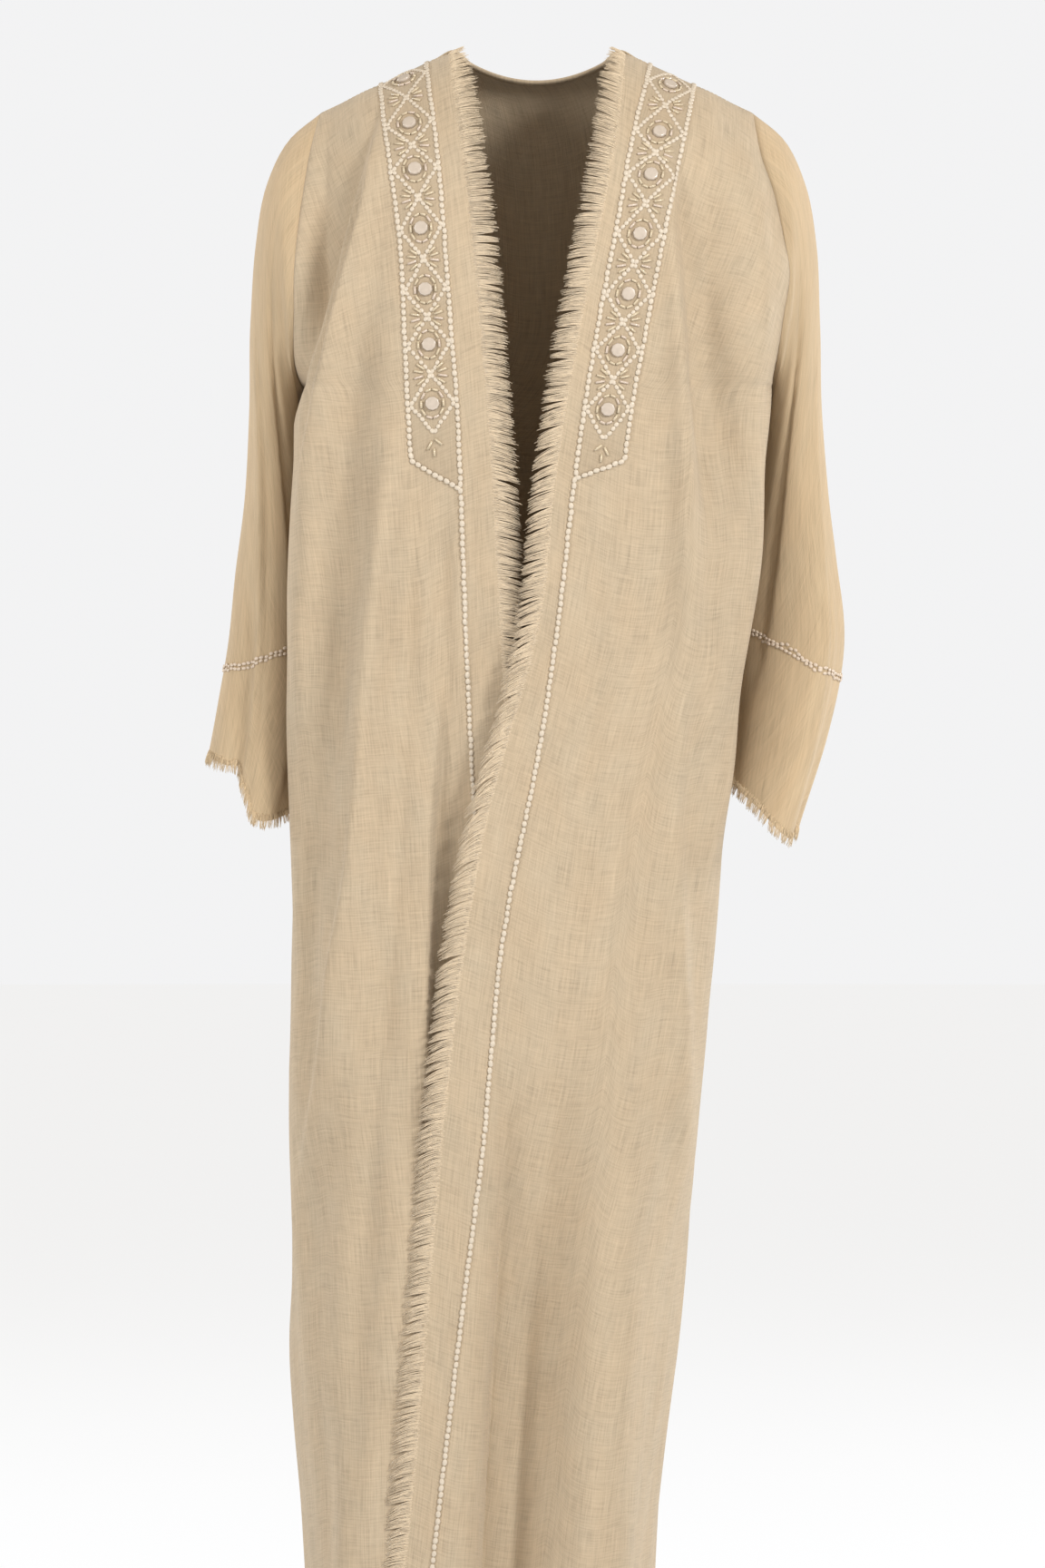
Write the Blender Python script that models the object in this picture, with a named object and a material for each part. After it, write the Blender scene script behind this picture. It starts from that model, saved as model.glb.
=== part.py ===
"""Open-front abaya cloak, hollow, in the form it has when worn.

Metres, +Z up. The wearer faces -Y, so the wearer's right is -X ("r") and the left is +X ("l").
The origin is midway between the two neck points of the shoulder seams, where the wearer holds it up.
"""

import math

import bpy
import numpy as np

# Driving dimensions
HEM_Z = -1.43
NECK_X = 0.070
SHOULDER_X = 0.182
SHOULDER_DROP = 0.053
BACK_NECK_Y = 0.052
BACK_NECK_DROP = 0.020
CHEST_Z = -0.200
UNDERARM_Z = -0.290
WALL = 0.0015
SEAM_GAP = 0.0003
SIDE_SIGN = {"r": -1.0, "l": 1.0}

# Level sections of the hanging cloth. Sizes on X are distances from the middle plane on each side.
# The wing is where a front reaches furthest out, the side is where the arm lies, and the corner is the back's.
SECTION_COLUMNS = (
    "z", "wing_r", "wing_l", "wing_y", "side_r", "side_l", "side_y",
    "corner_r", "corner_l", "corner_y", "front_y", "back_y",
)
SECTIONS = (
    (-0.200, 0.203, 0.211, -0.070, 0.206, 0.206, 0.005, 0.180, 0.180, 0.070, -0.126, 0.116),
    (-0.290, 0.199, 0.193, -0.070, 0.190, 0.187, 0.008, 0.166, 0.164, 0.074, -0.134, 0.119),
    (-0.360, 0.204, 0.190, -0.072, 0.166, 0.161, 0.008, 0.158, 0.154, 0.074, -0.132, 0.117),
    (-0.450, 0.209, 0.186, -0.074, 0.155, 0.141, 0.008, 0.152, 0.144, 0.072, -0.127, 0.114),
    (-0.550, 0.211, 0.169, -0.072, 0.152, 0.126, 0.008, 0.152, 0.136, 0.074, -0.126, 0.119),
    (-0.650, 0.206, 0.159, -0.064, 0.156, 0.120, 0.010, 0.158, 0.132, 0.078, -0.128, 0.126),
    (-0.800, 0.203, 0.145, -0.048, 0.182, 0.131, 0.014, 0.170, 0.128, 0.080, -0.130, 0.130),
    (-0.950, 0.198, 0.130, -0.036, 0.191, 0.125, 0.020, 0.176, 0.120, 0.082, -0.132, 0.134),
    (-1.100, 0.206, 0.117, -0.030, 0.199, 0.113, 0.024, 0.182, 0.108, 0.084, -0.134, 0.138),
    (-1.270, 0.191, 0.097, -0.026, 0.186, 0.096, 0.028, 0.172, 0.094, 0.086, -0.136, 0.142),
    (-1.430, 0.183, 0.092, -0.024, 0.180, 0.092, 0.030, 0.168, 0.090, 0.088, -0.138, 0.146),
)

# Lines down each front, as X at a height: the cloth's edge, the line of beads and the beaded panel's outer side
GUIDE_COLUMNS = ("z", "edge_r", "bead_r", "panel_r", "edge_l", "bead_l", "panel_l")
GUIDES = (
    (0.000, -0.0700, -0.0940, -0.1340, 0.0700, 0.0985, 0.1390),
    (-0.034, -0.0670, -0.0905, -0.1310, 0.0680, 0.0915, 0.1320),
    (-0.081, -0.0605, -0.0843, -0.1255, 0.0620, 0.0800, 0.1230),
    (-0.158, -0.0510, -0.0773, -0.1150, 0.0480, 0.0665, 0.1070),
    (-0.242, -0.0430, -0.0713, -0.1095, 0.0320, 0.0505, 0.0910),
    (-0.317, -0.0365, -0.0656, -0.1060, 0.0190, 0.0385, 0.0770),
    (-0.379, -0.0325, -0.0630, -0.1030, 0.0100, 0.0300, 0.0690),
    (-0.484, -0.0265, -0.0595, -0.0985, -0.0015, 0.0180, 0.0570),
    (-0.544, -0.0235, -0.0575, -0.0965, -0.0110, 0.0100, 0.0490),
    (-0.626, -0.0190, -0.0530, -0.0920, -0.0320, -0.0045, 0.0350),
    (-0.754, -0.0140, -0.0470, -0.0870, -0.0540, -0.0290, 0.0110),
    (-0.874, -0.0100, -0.0440, -0.0840, -0.0715, -0.0405, -0.0010),
    (-1.024, -0.0060, -0.0400, -0.0800, -0.0875, -0.0580, -0.0180),
    (-1.204, -0.0020, -0.0370, -0.0770, -0.1060, -0.0790, -0.0390),
    (-1.430, 0.0000, -0.0350, -0.0750, -0.1310, -0.1040, -0.0640),
)

# The armholes above the chest, as distances from the middle plane
ARMHOLE_COLUMNS = ("z", "front_r", "front_l", "back_r", "back_l")
ARMHOLES = (
    (-0.053, 0.182, 0.182, 0.182, 0.182),
    (-0.090, 0.190, 0.187, 0.186, 0.186),
    (-0.130, 0.196, 0.199, 0.187, 0.187),
    (-0.171, 0.201, 0.207, 0.184, 0.184),
    (-0.200, 0.203, 0.211, 0.180, 0.180),
)

# Rows of a panel from the chest to the underarm: height at the middle, height at the armhole,
# and how far round from the wing (or the corner) to the side the armhole has come
ARMHOLE_ROW_COLUMNS = ("z_middle", "z_side", "round")
ARMHOLE_ROWS = (
    (-0.200, -0.200, 0.00),
    (-0.224, -0.226, 0.05),
    (-0.248, -0.250, 0.17),
    (-0.272, -0.270, 0.36),
    (-0.297, -0.284, 0.65),
    (-0.323, UNDERARM_Z, 1.00),
)
YOKE_STEPS = 6
HANG_STEPS = 17

# Large folds: the line that each follows, as X at a height, and how far the cloth stands out (+) or in (-) there.
# A ridge fades on both sides of its line; a step keeps its depth on the side that its sign of "side" names.
FOLD_COLUMNS = ("z", "x", "depth")
FOLDS = (
    ("front_right", "ridge", 0, 0.022, (
        (-0.20, -0.113, 0.000), (-0.38, -0.121, 0.006), (-0.52, -0.137, 0.008), (-0.63, -0.155, 0.009),
        (-0.76, -0.167, 0.009), (-0.93, -0.187, 0.004), (-1.05, -0.195, 0.000),
    )),
    ("front_right", "step", -1, 0.016, (
        (-0.050, -0.122, 0.000), (-0.130, -0.149, -0.012), (-0.215, -0.171, -0.022),
        (-0.270, -0.187, -0.009), (-0.320, -0.200, 0.000),
    )),
    ("front_right", "step", 1, 0.022, (
        (-0.280, -0.052, 0.000), (-0.380, -0.060, -0.007), (-0.500, -0.066, -0.009), (-0.620, -0.088, -0.012),
        (-0.800, -0.094, -0.018), (-0.950, -0.112, -0.014), (-1.200, -0.134, -0.012), (-1.430, -0.160, -0.012),
    )),
    ("front_left", "step", -1, 0.030, (
        (-0.250, 0.050, 0.000), (-0.380, 0.030, 0.003), (-0.600, 0.000, 0.003), (-0.870, -0.045, 0.003),
        (-1.430, -0.100, 0.003),
    )),
    ("front_left", "ridge", 0, 0.016, (
        (-0.110, 0.116, 0.000), (-0.240, 0.118, 0.005), (-0.376, 0.122, 0.006), (-0.476, 0.130, 0.006),
        (-0.560, 0.145, 0.005), (-0.680, 0.157, 0.000),
    )),
    ("both_fronts", "ridge", 0, 0.024, (
        (-0.750, 0.026, 0.000), (-0.950, 0.022, -0.005), (-1.150, 0.018, -0.010), (-1.430, 0.014, -0.013),
    )),
    ("both_fronts", "ridge", 0, 0.024, (
        (-0.850, -0.036, 0.000), (-1.050, -0.034, 0.004), (-1.430, -0.042, 0.005),
    )),
    ("back", "ridge", 0, 0.018, ((-0.28, -0.105, 0.0), (-0.60, -0.110, -0.007), (-1.43, -0.122, -0.015))),
    ("back", "ridge", 0, 0.020, ((-0.24, -0.060, 0.0), (-0.60, -0.066, 0.006), (-1.43, -0.082, 0.012))),
    ("back", "ridge", 0, 0.019, ((-0.22, -0.018, 0.0), (-0.60, -0.024, -0.008), (-1.43, -0.044, -0.017))),
    ("back", "ridge", 0, 0.019, ((-0.26, 0.020, 0.0), (-0.60, 0.012, 0.007), (-1.43, -0.008, 0.013))),
    ("back", "ridge", 0, 0.018, ((-0.24, 0.062, 0.0), (-0.60, 0.050, -0.007), (-1.43, 0.030, -0.016))),
    ("back", "ridge", 0, 0.018, ((-0.30, 0.105, 0.0), (-0.65, 0.088, 0.005), (-1.43, 0.062, 0.009))),
)

# Places of a panel's columns. On a front 0 is the edge, 1 the bead line, 2 the beaded panel's outer side, 3 the side.
FRONT_COLUMNS = (0.0, 0.5, 1.0, 1.34, 1.67, 2.0, 2.12, 2.24, 2.36, 2.48, 2.6, 2.7, 2.8, 2.9, 3.0)
BACK_STEPS = 24
NECK_SHARE = 5 / 12

# Rings of a sleeve: its outer and inner line in the front view, their depths, and its half depth to front and back
SLEEVE_COLUMNS = ("outer_x", "outer_z", "outer_y", "inner_x", "inner_z", "inner_y", "half_front", "half_back", "crease")
SLEEVES = {
    "r": (
        (0.182, -0.053, 0.000, 0.190, -0.290, 0.008, 0.080, 0.080, 0.0),
        (0.207, -0.074, 0.000, 0.195, -0.300, 0.012, 0.078, 0.074, 0.0),
        (0.227, -0.112, 0.000, 0.1965, -0.312, 0.016, 0.070, 0.066, 0.0),
        (0.2385, -0.165, 0.000, 0.196, -0.330, 0.020, 0.062, 0.060, 0.0),
        (0.243, -0.230, 0.000, 0.193, -0.354, 0.023, 0.056, 0.056, 0.0),
        (0.2425, -0.300, 0.000, 0.188, -0.391, 0.025, 0.053, 0.053, 0.0),
        (0.246, -0.370, -0.002, 0.182, -0.435, 0.026, 0.051, 0.051, 0.1),
        (0.254, -0.440, -0.006, 0.178, -0.485, 0.026, 0.050, 0.050, 0.3),
        (0.259, -0.500, -0.010, 0.177, -0.535, 0.024, 0.051, 0.050, 0.6),
        (0.268, -0.550, -0.012, 0.178, -0.585, 0.022, 0.053, 0.050, 0.9),
        (0.278, -0.597, -0.012, 0.182, -0.630, 0.020, 0.055, 0.050, 1.0),
    ),
    "l": (
        (0.182, -0.053, 0.000, 0.187, -0.290, 0.008, 0.080, 0.080, 0.0),
        (0.207, -0.074, 0.000, 0.192, -0.300, 0.012, 0.078, 0.074, 0.0),
        (0.226, -0.112, 0.000, 0.1935, -0.312, 0.016, 0.070, 0.066, 0.0),
        (0.2375, -0.165, 0.000, 0.192, -0.330, 0.020, 0.062, 0.060, 0.0),
        (0.2405, -0.230, 0.000, 0.188, -0.354, 0.023, 0.056, 0.056, 0.0),
        (0.2405, -0.300, 0.000, 0.181, -0.390, 0.025, 0.053, 0.053, 0.0),
        (0.246, -0.370, -0.002, 0.173, -0.432, 0.027, 0.051, 0.051, 0.1),
        (0.253, -0.430, -0.006, 0.165, -0.475, 0.028, 0.050, 0.050, 0.3),
        (0.2585, -0.500, -0.012, 0.157, -0.520, 0.028, 0.050, 0.050, 0.5),
        (0.2455, -0.580, -0.020, 0.149, -0.562, 0.026, 0.050, 0.050, 0.8),
        (0.2200, -0.662, -0.026, 0.139, -0.604, 0.024, 0.050, 0.050, 1.0),
    ),
}
ARMHOLE_HOLD = (1.0, 0.62, 0.28, 0.08)

# The cuff round its ring: 0 is the outer line, 90 the front, 180 the inner line and 270 the back.
# Swell is the ring's radius there at a full crease, and drop is how far the hem hangs below the last ring.
CUFF_COLUMNS = ("angle", "swell", "drop")
CUFFS = {
    "r": (
        (0, 1.00, 0.000), (35, 0.86, 0.004), (62, 0.80, 0.018), (86, 1.10, 0.042), (115, 1.02, 0.034),
        (150, 1.00, 0.016), (180, 1.00, 0.004), (270, 1.00, -0.006), (360, 1.00, 0.000),
    ),
    "l": (
        (0, 1.00, 0.000), (24, 0.93, 0.004), (48, 1.10, 0.010), (80, 1.02, 0.004), (115, 1.00, 0.000),
        (150, 1.00, 0.000), (180, 1.00, 0.000), (270, 1.00, -0.010), (360, 1.00, 0.000),
    ),
}

# Fringe
STRIP_WIDTH = 0.0030
FRINGE_WALL = 0.0012
FRONT_LOCK = 0.0165
CUFF_LOCK = 0.0120
FRONT_SPACING = 0.0185
CUFF_SPACING = 0.0085
FRINGE_GAP = 0.0005
LOCK_TIP_SHARE = 0.62
LOCK_DROOP = 0.42
LOCK_UNEVEN = 0.16

# Beaded chest panels, laid on the fronts
PANEL_TOP_ROW = 0.35
PANEL_FOOT_Z = -0.356
PANEL_SLANT = 0.022
PANEL_WALL = 0.0010
LATTICE_TOP_Z = -0.0245
LATTICE_PITCH = 0.0473
LATTICE_COUNT = 7
BOSS_SIZE = 0.012
BOSS_HEIGHT = 0.0022

# Linear colours
SAND = (0.640, 0.520, 0.350)
SAND_THREAD = (0.700, 0.590, 0.420)
CREAM_BEAD = (0.800, 0.730, 0.600)


def smooth(share):
    """0 to 1 with level ends."""
    share = np.clip(share, 0.0, 1.0)
    return share * share * (3 - 2 * share)


def curve_through(places, values):
    """A smooth function through the values, with the slope of a central difference at each."""
    places, values = np.asarray(places, float), np.asarray(values, float)
    slopes = np.gradient(values, places)

    def value(at):
        at = min(max(at, places[0]), places[-1])
        k = min(int(np.searchsorted(places, at, side="right")) - 1, len(places) - 2)
        span = places[k + 1] - places[k]
        t = (at - places[k]) / span
        return (
            values[k] * (1 + 2 * t) * (1 - t) ** 2
            + slopes[k] * span * t * (1 - t) ** 2
            + values[k + 1] * t * t * (3 - 2 * t)
            + slopes[k + 1] * span * t * t * (t - 1)
        )

    return value


def columns_by_height(columns, rows):
    """A smooth function of height for each named column of a table whose rows run downwards."""
    depths = [-row[0] for row in rows]
    made = {}
    for index, name in enumerate(columns):
        if index:
            along = curve_through(depths, [row[index] for row in rows])
            made[name] = lambda z, along=along: along(-z)
    return made


SECTION = columns_by_height(SECTION_COLUMNS, SECTIONS)
GUIDE = columns_by_height(GUIDE_COLUMNS, GUIDES)
ARMHOLE = columns_by_height(ARMHOLE_COLUMNS, ARMHOLES)


def closed_curve(points, steps=14):
    """Points along a closed centripetal spline through the given points, and each given point's index."""
    points = np.asarray(points, float)
    count = len(points)
    out = []
    for i in range(count):
        p = [points[(i + k) % count] for k in (-1, 0, 1, 2)]
        t = [0.0]
        for a, b in zip(p, p[1:]):
            t.append(t[-1] + math.sqrt(np.linalg.norm(b - a)))
        for s in np.linspace(t[1], t[2], steps, endpoint=False):
            a1 = ((t[1] - s) * p[0] + (s - t[0]) * p[1]) / (t[1] - t[0])
            a2 = ((t[2] - s) * p[1] + (s - t[1]) * p[2]) / (t[2] - t[1])
            a3 = ((t[3] - s) * p[2] + (s - t[2]) * p[3]) / (t[3] - t[2])
            b1 = ((t[2] - s) * a1 + (s - t[0]) * a2) / (t[2] - t[0])
            b2 = ((t[3] - s) * a2 + (s - t[1]) * a3) / (t[3] - t[1])
            out.append(((t[2] - s) * b1 + (s - t[1]) * b2) / (t[2] - t[1]))
    return np.array(out), [i * steps for i in range(count)]


class Ring:
    """The level section of the hanging cloth at one height, as a closed curve that starts at the middle front."""

    def __init__(self, z):
        v = {name: SECTION[name](z) for name in SECTION_COLUMNS[1:]}
        middle = (v["wing_l"] - v["wing_r"]) / 2
        half = (v["wing_l"] + v["wing_r"]) / 2
        points = [(middle, v["front_y"])]
        for side in ("r", "l"):
            sign = SIDE_SIGN[side]
            run = [
                (middle + sign * half * 0.36, v["front_y"] + 0.05 * (v["wing_y"] - v["front_y"])),
                (middle + sign * half * 0.74, v["front_y"] + 0.30 * (v["wing_y"] - v["front_y"])),
                (sign * v["wing_" + side], v["wing_y"]),
                (sign * v["side_" + side], v["side_y"]),
                (sign * v["corner_" + side], v["corner_y"]),
                (middle + sign * half * 0.46, v["back_y"] - 0.08 * (v["back_y"] - v["corner_y"])),
            ]
            points += run if side == "r" else [(middle, v["back_y"])] + run[::-1]
        self.z = z
        self.points, marks = closed_curve(points)
        looped = np.vstack([self.points, self.points[:1]])
        self.along = np.concatenate([[0], np.cumsum(np.linalg.norm(np.diff(looped, axis=0), axis=1))])
        self.looped = looped
        at = self.along
        self.round = at[-1]
        self.marks = {
            "wing_r": at[marks[3]], "side_r": at[marks[4]], "corner_r": at[marks[5]], "back": at[marks[7]],
            "corner_l": at[marks[9]], "side_l": at[marks[10]], "wing_l": at[marks[11]],
        }
        split = int(marks[11])
        front = np.vstack([looped[split:-1], looped[: marks[3] + 1]])
        lengths = np.concatenate([at[split:-1] - self.round, at[: marks[3] + 1]])
        self.front_x, self.front_along = front[::-1, 0], lengths[::-1]

    def at(self, length):
        """The point that far round the ring."""
        length = length % self.round
        return np.array([np.interp(length, self.along, self.looped[:, k]) for k in (0, 1)] + [self.z])

    def front_at(self, x):
        """How far round the ring the front passes this X."""
        return float(np.interp(x, self.front_x, self.front_along))


RINGS = {}


def ring(z):
    key = round(z, 5)
    if key not in RINGS:
        RINGS[key] = Ring(key)
    return RINGS[key]


def hang_rows():
    """(height at the middle, height at the side, how far round the armhole has come) from the chest to the hem."""
    rows = list(ARMHOLE_ROWS)
    middle, side = rows[-1][:2]
    for step in range(1, HANG_STEPS + 1):
        share = step / HANG_STEPS
        rows.append((middle + (HEM_Z - middle) * share, side + (HEM_Z - side) * share, 1.0))
    return rows


def side_length(level, side, front, turned):
    """How far round the ring a panel ends: at the armhole above the underarm, and at the side seam below."""
    start = level.marks[("wing_" if front else "corner_") + side]
    return start + (level.marks["side_" + side] - start) * turned


def front_hang_point(side, place, row):
    """A point of a front below the chest."""
    z_middle, z_side, turned = row
    share = place / FRONT_COLUMNS[-1]
    level = ring(z_side + (z_middle - z_side) * smooth(1.0 - share))
    lines = [GUIDE[name + side](level.z) for name in ("edge_", "bead_", "panel_")]
    if place <= 2:
        k = min(int(place), 1)
        return level.at(level.front_at(lines[k] + (lines[k + 1] - lines[k]) * (place - k)))
    start = level.front_at(lines[2])
    end = side_length(level, side, True, turned)
    if side == "l":
        end -= level.round
    return level.at(start + (end - start) * (place - 2))


def shoulder_z(x):
    """Height of the shoulder seam."""
    return -SHOULDER_DROP * max(0.0, (abs(x) - NECK_X) / (SHOULDER_X - NECK_X))


def yoke_path(top, chest, share):
    """Depth and height on the quarter round from the shoulder to the chest."""
    turn = share * math.pi / 2
    return top[1] + (chest[1] - top[1]) * math.sin(turn), top[2] + (chest[2] - top[2]) * (1 - math.cos(turn))


def front_yoke_point(side, place, share):
    """A point of a front between the shoulder seam, at share 0, and the chest, at share 1."""
    sign = SIDE_SIGN[side]

    def across(z):
        lines = [GUIDE[name + side](z) for name in ("edge_", "bead_", "panel_")]
        lines.append(sign * ARMHOLE["front_" + side](z))
        k = min(int(place), 2)
        return lines[k] + (lines[k + 1] - lines[k]) * (place - k)

    x = across(-SHOULDER_DROP / 2)
    for _ in range(4):
        x = across(shoulder_z(x))
    chest = front_hang_point(side, place, ARMHOLE_ROWS[0])
    y, z = yoke_path((x, 0.0, shoulder_z(x)), chest, share)
    x = x + (chest[0] - x) * share if place > 2 else across(z)
    if place > 2:
        inner, outer = GUIDE["panel_" + side](z), sign * ARMHOLE["front_" + side](z)
        flat = inner + (outer - inner) * (place - 2)
        x = flat + (chest[0] - (GUIDE["panel_" + side](CHEST_Z) + (
            sign * ARMHOLE["front_" + side](CHEST_Z) - GUIDE["panel_" + side](CHEST_Z)) * (place - 2))) * share
    return np.array([x, y, z])


def front_grid(side):
    rows = [[front_yoke_point(side, place, k / YOKE_STEPS) for place in FRONT_COLUMNS] for k in range(YOKE_STEPS)]
    rows += [[front_hang_point(side, place, row) for place in FRONT_COLUMNS] for row in hang_rows()]
    return np.array(rows)


def back_hang_point(place, row):
    """A point of the back below the chest. Place runs from -1 at the wearer's right to 1 at the left."""
    z_middle, z_side, turned = row
    level = ring(z_middle + (z_side - z_middle) * smooth(abs(place)))
    start, end = (side_length(level, side, False, turned) for side in ("r", "l"))
    return level.at(start + (end - start) * (place + 1) / 2)


def back_grid():
    places = np.linspace(-1, 1, BACK_STEPS + 1)
    rows = []
    for k in range(YOKE_STEPS):
        share = k / YOKE_STEPS
        row = []
        for place in places:
            size, sign = abs(place), math.copysign(1.0, place)
            chest = back_hang_point(place, ARMHOLE_ROWS[0])
            if size < NECK_SHARE:
                x = NECK_X * size / NECK_SHARE
                dip = 1 - (x / NECK_X) ** 2
                top = (sign * x, BACK_NECK_Y * math.sqrt(dip), -BACK_NECK_DROP * dip)
            else:
                x = NECK_X + (SHOULDER_X - NECK_X) * (size - NECK_SHARE) / (1 - NECK_SHARE)
                top = (sign * x, 0.0, shoulder_z(x))
            y, z = yoke_path(top, chest, share)
            row.append((top[0] + (chest[0] - top[0]) * smooth(share), y, z))
        rows.append(row)
    rows += [[back_hang_point(place, row) for place in places] for row in hang_rows()]
    return np.array(rows)


def grid_normals(grid, closed=False):
    """Unit normals of a grid of points, facing out of the garment."""
    if closed:
        across = np.roll(grid, -1, axis=1) - np.roll(grid, 1, axis=1)
    else:
        across = np.gradient(grid, axis=1)
    down = np.gradient(grid, axis=0)
    normals = np.cross(across, down)
    return normals / np.linalg.norm(normals, axis=2, keepdims=True)


def outward(normals, grid, middle):
    """The same normals, turned to face away from a middle line."""
    facing = ((grid - middle) * normals).sum()
    return normals if facing > 0 else -normals


def fold_depth(name, x, z):
    """How far the large folds move the cloth of one panel at this place."""
    total = 0.0
    for panel, kind, side, width, rows in FOLDS:
        if panel != name and not (panel == "both_fronts" and name.startswith("front")):
            continue
        depths = [-row[0] for row in rows]
        if not depths[0] <= -z <= depths[-1]:
            continue
        line = curve_through(depths, [row[1] for row in rows])(-z)
        depth = curve_through(depths, [row[2] for row in rows])(-z)
        if kind == "ridge":
            total += depth * math.exp(-(((x - line) / width) ** 2))
        else:
            total += depth * float(smooth(side * (x - line) / width))
    return total


def folded(name, grid, middle):
    """The panel with its large folds, which fade out at the armholes and side seams."""
    normals = outward(grid_normals(grid), grid, middle)
    out = grid.copy()
    columns = grid.shape[1]
    for i in range(grid.shape[0]):
        for j in range(columns):
            x, _, z = grid[i, j]
            from_seam = min(j, columns - 1 - j) if name == "back" else columns - 1 - j
            out[i, j] += normals[i, j] * fold_depth(name, x, z) * float(smooth(from_seam / 2))
    return out


def drawn_back(line, inner_line, distance):
    """A panel's border moved back along the cloth, for half a seam's gap."""
    step = inner_line - line
    return line + step / np.linalg.norm(step, axis=1, keepdims=True) * distance


def new_material(name, colour, roughness):
    material = bpy.data.materials.new(name)
    material.use_nodes = True
    shader = material.node_tree.nodes["Principled BSDF"]
    shader.inputs["Base Color"].default_value = (*colour, 1.0)
    shader.inputs["Roughness"].default_value = roughness
    shader.inputs["Metallic"].default_value = 0.0
    return material


def new_object(name, points, faces, material):
    mesh = bpy.data.meshes.new(name)
    mesh.from_pydata([tuple(map(float, p)) for p in points], [], faces)
    mesh.validate()
    mesh.materials.append(material)
    mesh.shade_smooth()
    mesh.set_sharp_from_angle(angle=math.radians(50))
    made = bpy.data.objects.new(name, mesh)
    bpy.context.scene.collection.objects.link(made)
    return made


def facing_out(points, faces):
    """The faces of a closed mesh, turned so that they face out of it."""
    volume = 0.0
    for face in faces:
        for k in range(1, len(face) - 1):
            volume += np.dot(points[face[0]], np.cross(points[face[k]], points[face[k + 1]]))
    return faces if volume > 0 else [face[::-1] for face in faces]


def wall_object(name, outer, inner, material, closed=False):
    """One closed wall between two grids of points, with rims round its open borders.

    Both sides split each four-cornered place along the same diagonal, so the wall keeps its thickness.
    """
    rows, columns = outer.shape[:2]
    count = rows * columns
    points = np.vstack([outer.reshape(-1, 3), inner.reshape(-1, 3)])

    def at(i, j, layer=0):
        return layer * count + i * columns + j % columns

    faces = []
    for i in range(rows - 1):
        for j in range(columns if closed else columns - 1):
            a, b, c, d = (i, j), (i, j + 1), (i + 1, j + 1), (i + 1, j)
            p, q, r, s = (outer[k, m % columns] for k, m in (a, b, c, d))
            halves = ((a, b, c), (a, c, d))
            if np.linalg.norm(q - s) < np.linalg.norm(p - r):
                halves = ((a, b, d), (b, c, d))
            for half in halves:
                faces.append([at(*corner) for corner in half])
                faces.append([at(*corner, 1) for corner in half[::-1]])
    for i, turn in ((0, False), (rows - 1, True)):
        for j in range(columns if closed else columns - 1):
            quad = [at(i, j), at(i, j, 1), at(i, j + 1, 1), at(i, j + 1)]
            faces.append(quad[::-1] if turn else quad)
    if not closed:
        for j, turn in ((0, True), (columns - 1, False)):
            for i in range(rows - 1):
                quad = [at(i, j), at(i, j, 1), at(i + 1, j, 1), at(i + 1, j)]
                faces.append(quad[::-1] if turn else quad)
    return new_object(name, points, facing_out(points, faces), material)


def sleeve_grid(side, armhole):
    """Rings down a sleeve. The first is the armhole itself; the next few keep some of its shape."""
    sign = SIDE_SIGN[side]
    half = (len(armhole)) // 2
    steps = np.linalg.norm(np.diff(np.vstack([armhole, armhole[:1]]), axis=0), axis=1)
    front, back = np.cumsum(steps[:half]), np.cumsum(steps[half:])
    angles = np.concatenate([[0], front / front[-1] * 180, 180 + back / back[-1] * 180])[:-1]
    swell = curve_through([row[0] for row in CUFFS[side]], [row[1] for row in CUFFS[side]])
    drop = curve_through([row[0] for row in CUFFS[side]], [row[2] for row in CUFFS[side]])
    rings = []
    for row in SLEEVES[side]:
        v = dict(zip(SLEEVE_COLUMNS, row))
        outer = np.array([sign * v["outer_x"], v["outer_y"], v["outer_z"]])
        inner = np.array([sign * v["inner_x"], v["inner_y"], v["inner_z"]])
        centre, arm = (outer + inner) / 2, (outer - inner) / 2
        points = []
        for angle in angles:
            turn = math.radians(angle)
            reach = v["half_front"] if angle <= 180 else v["half_back"]
            size = 1 + (swell(angle) - 1) * v["crease"]
            offset = (arm * math.cos(turn) + np.array([0, -reach * math.sin(turn), 0])) * size
            points.append(centre + offset - np.array([0, 0, drop(angle)]) * max(0.0, 2.5 * v["crease"] - 1.5))
        rings.append(points)
    rings = np.array(rings)
    shape = armhole - rings[0]
    for k, hold in enumerate(ARMHOLE_HOLD):
        rings[k] += shape * hold
    return rings


def uneven(index):
    """A fixed irregular number from -1 to 1 for each index."""
    return 2 * math.modf(abs(math.sin(index * 12.9898 + 4.1414)) * 43758.5453)[0] - 1


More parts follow.
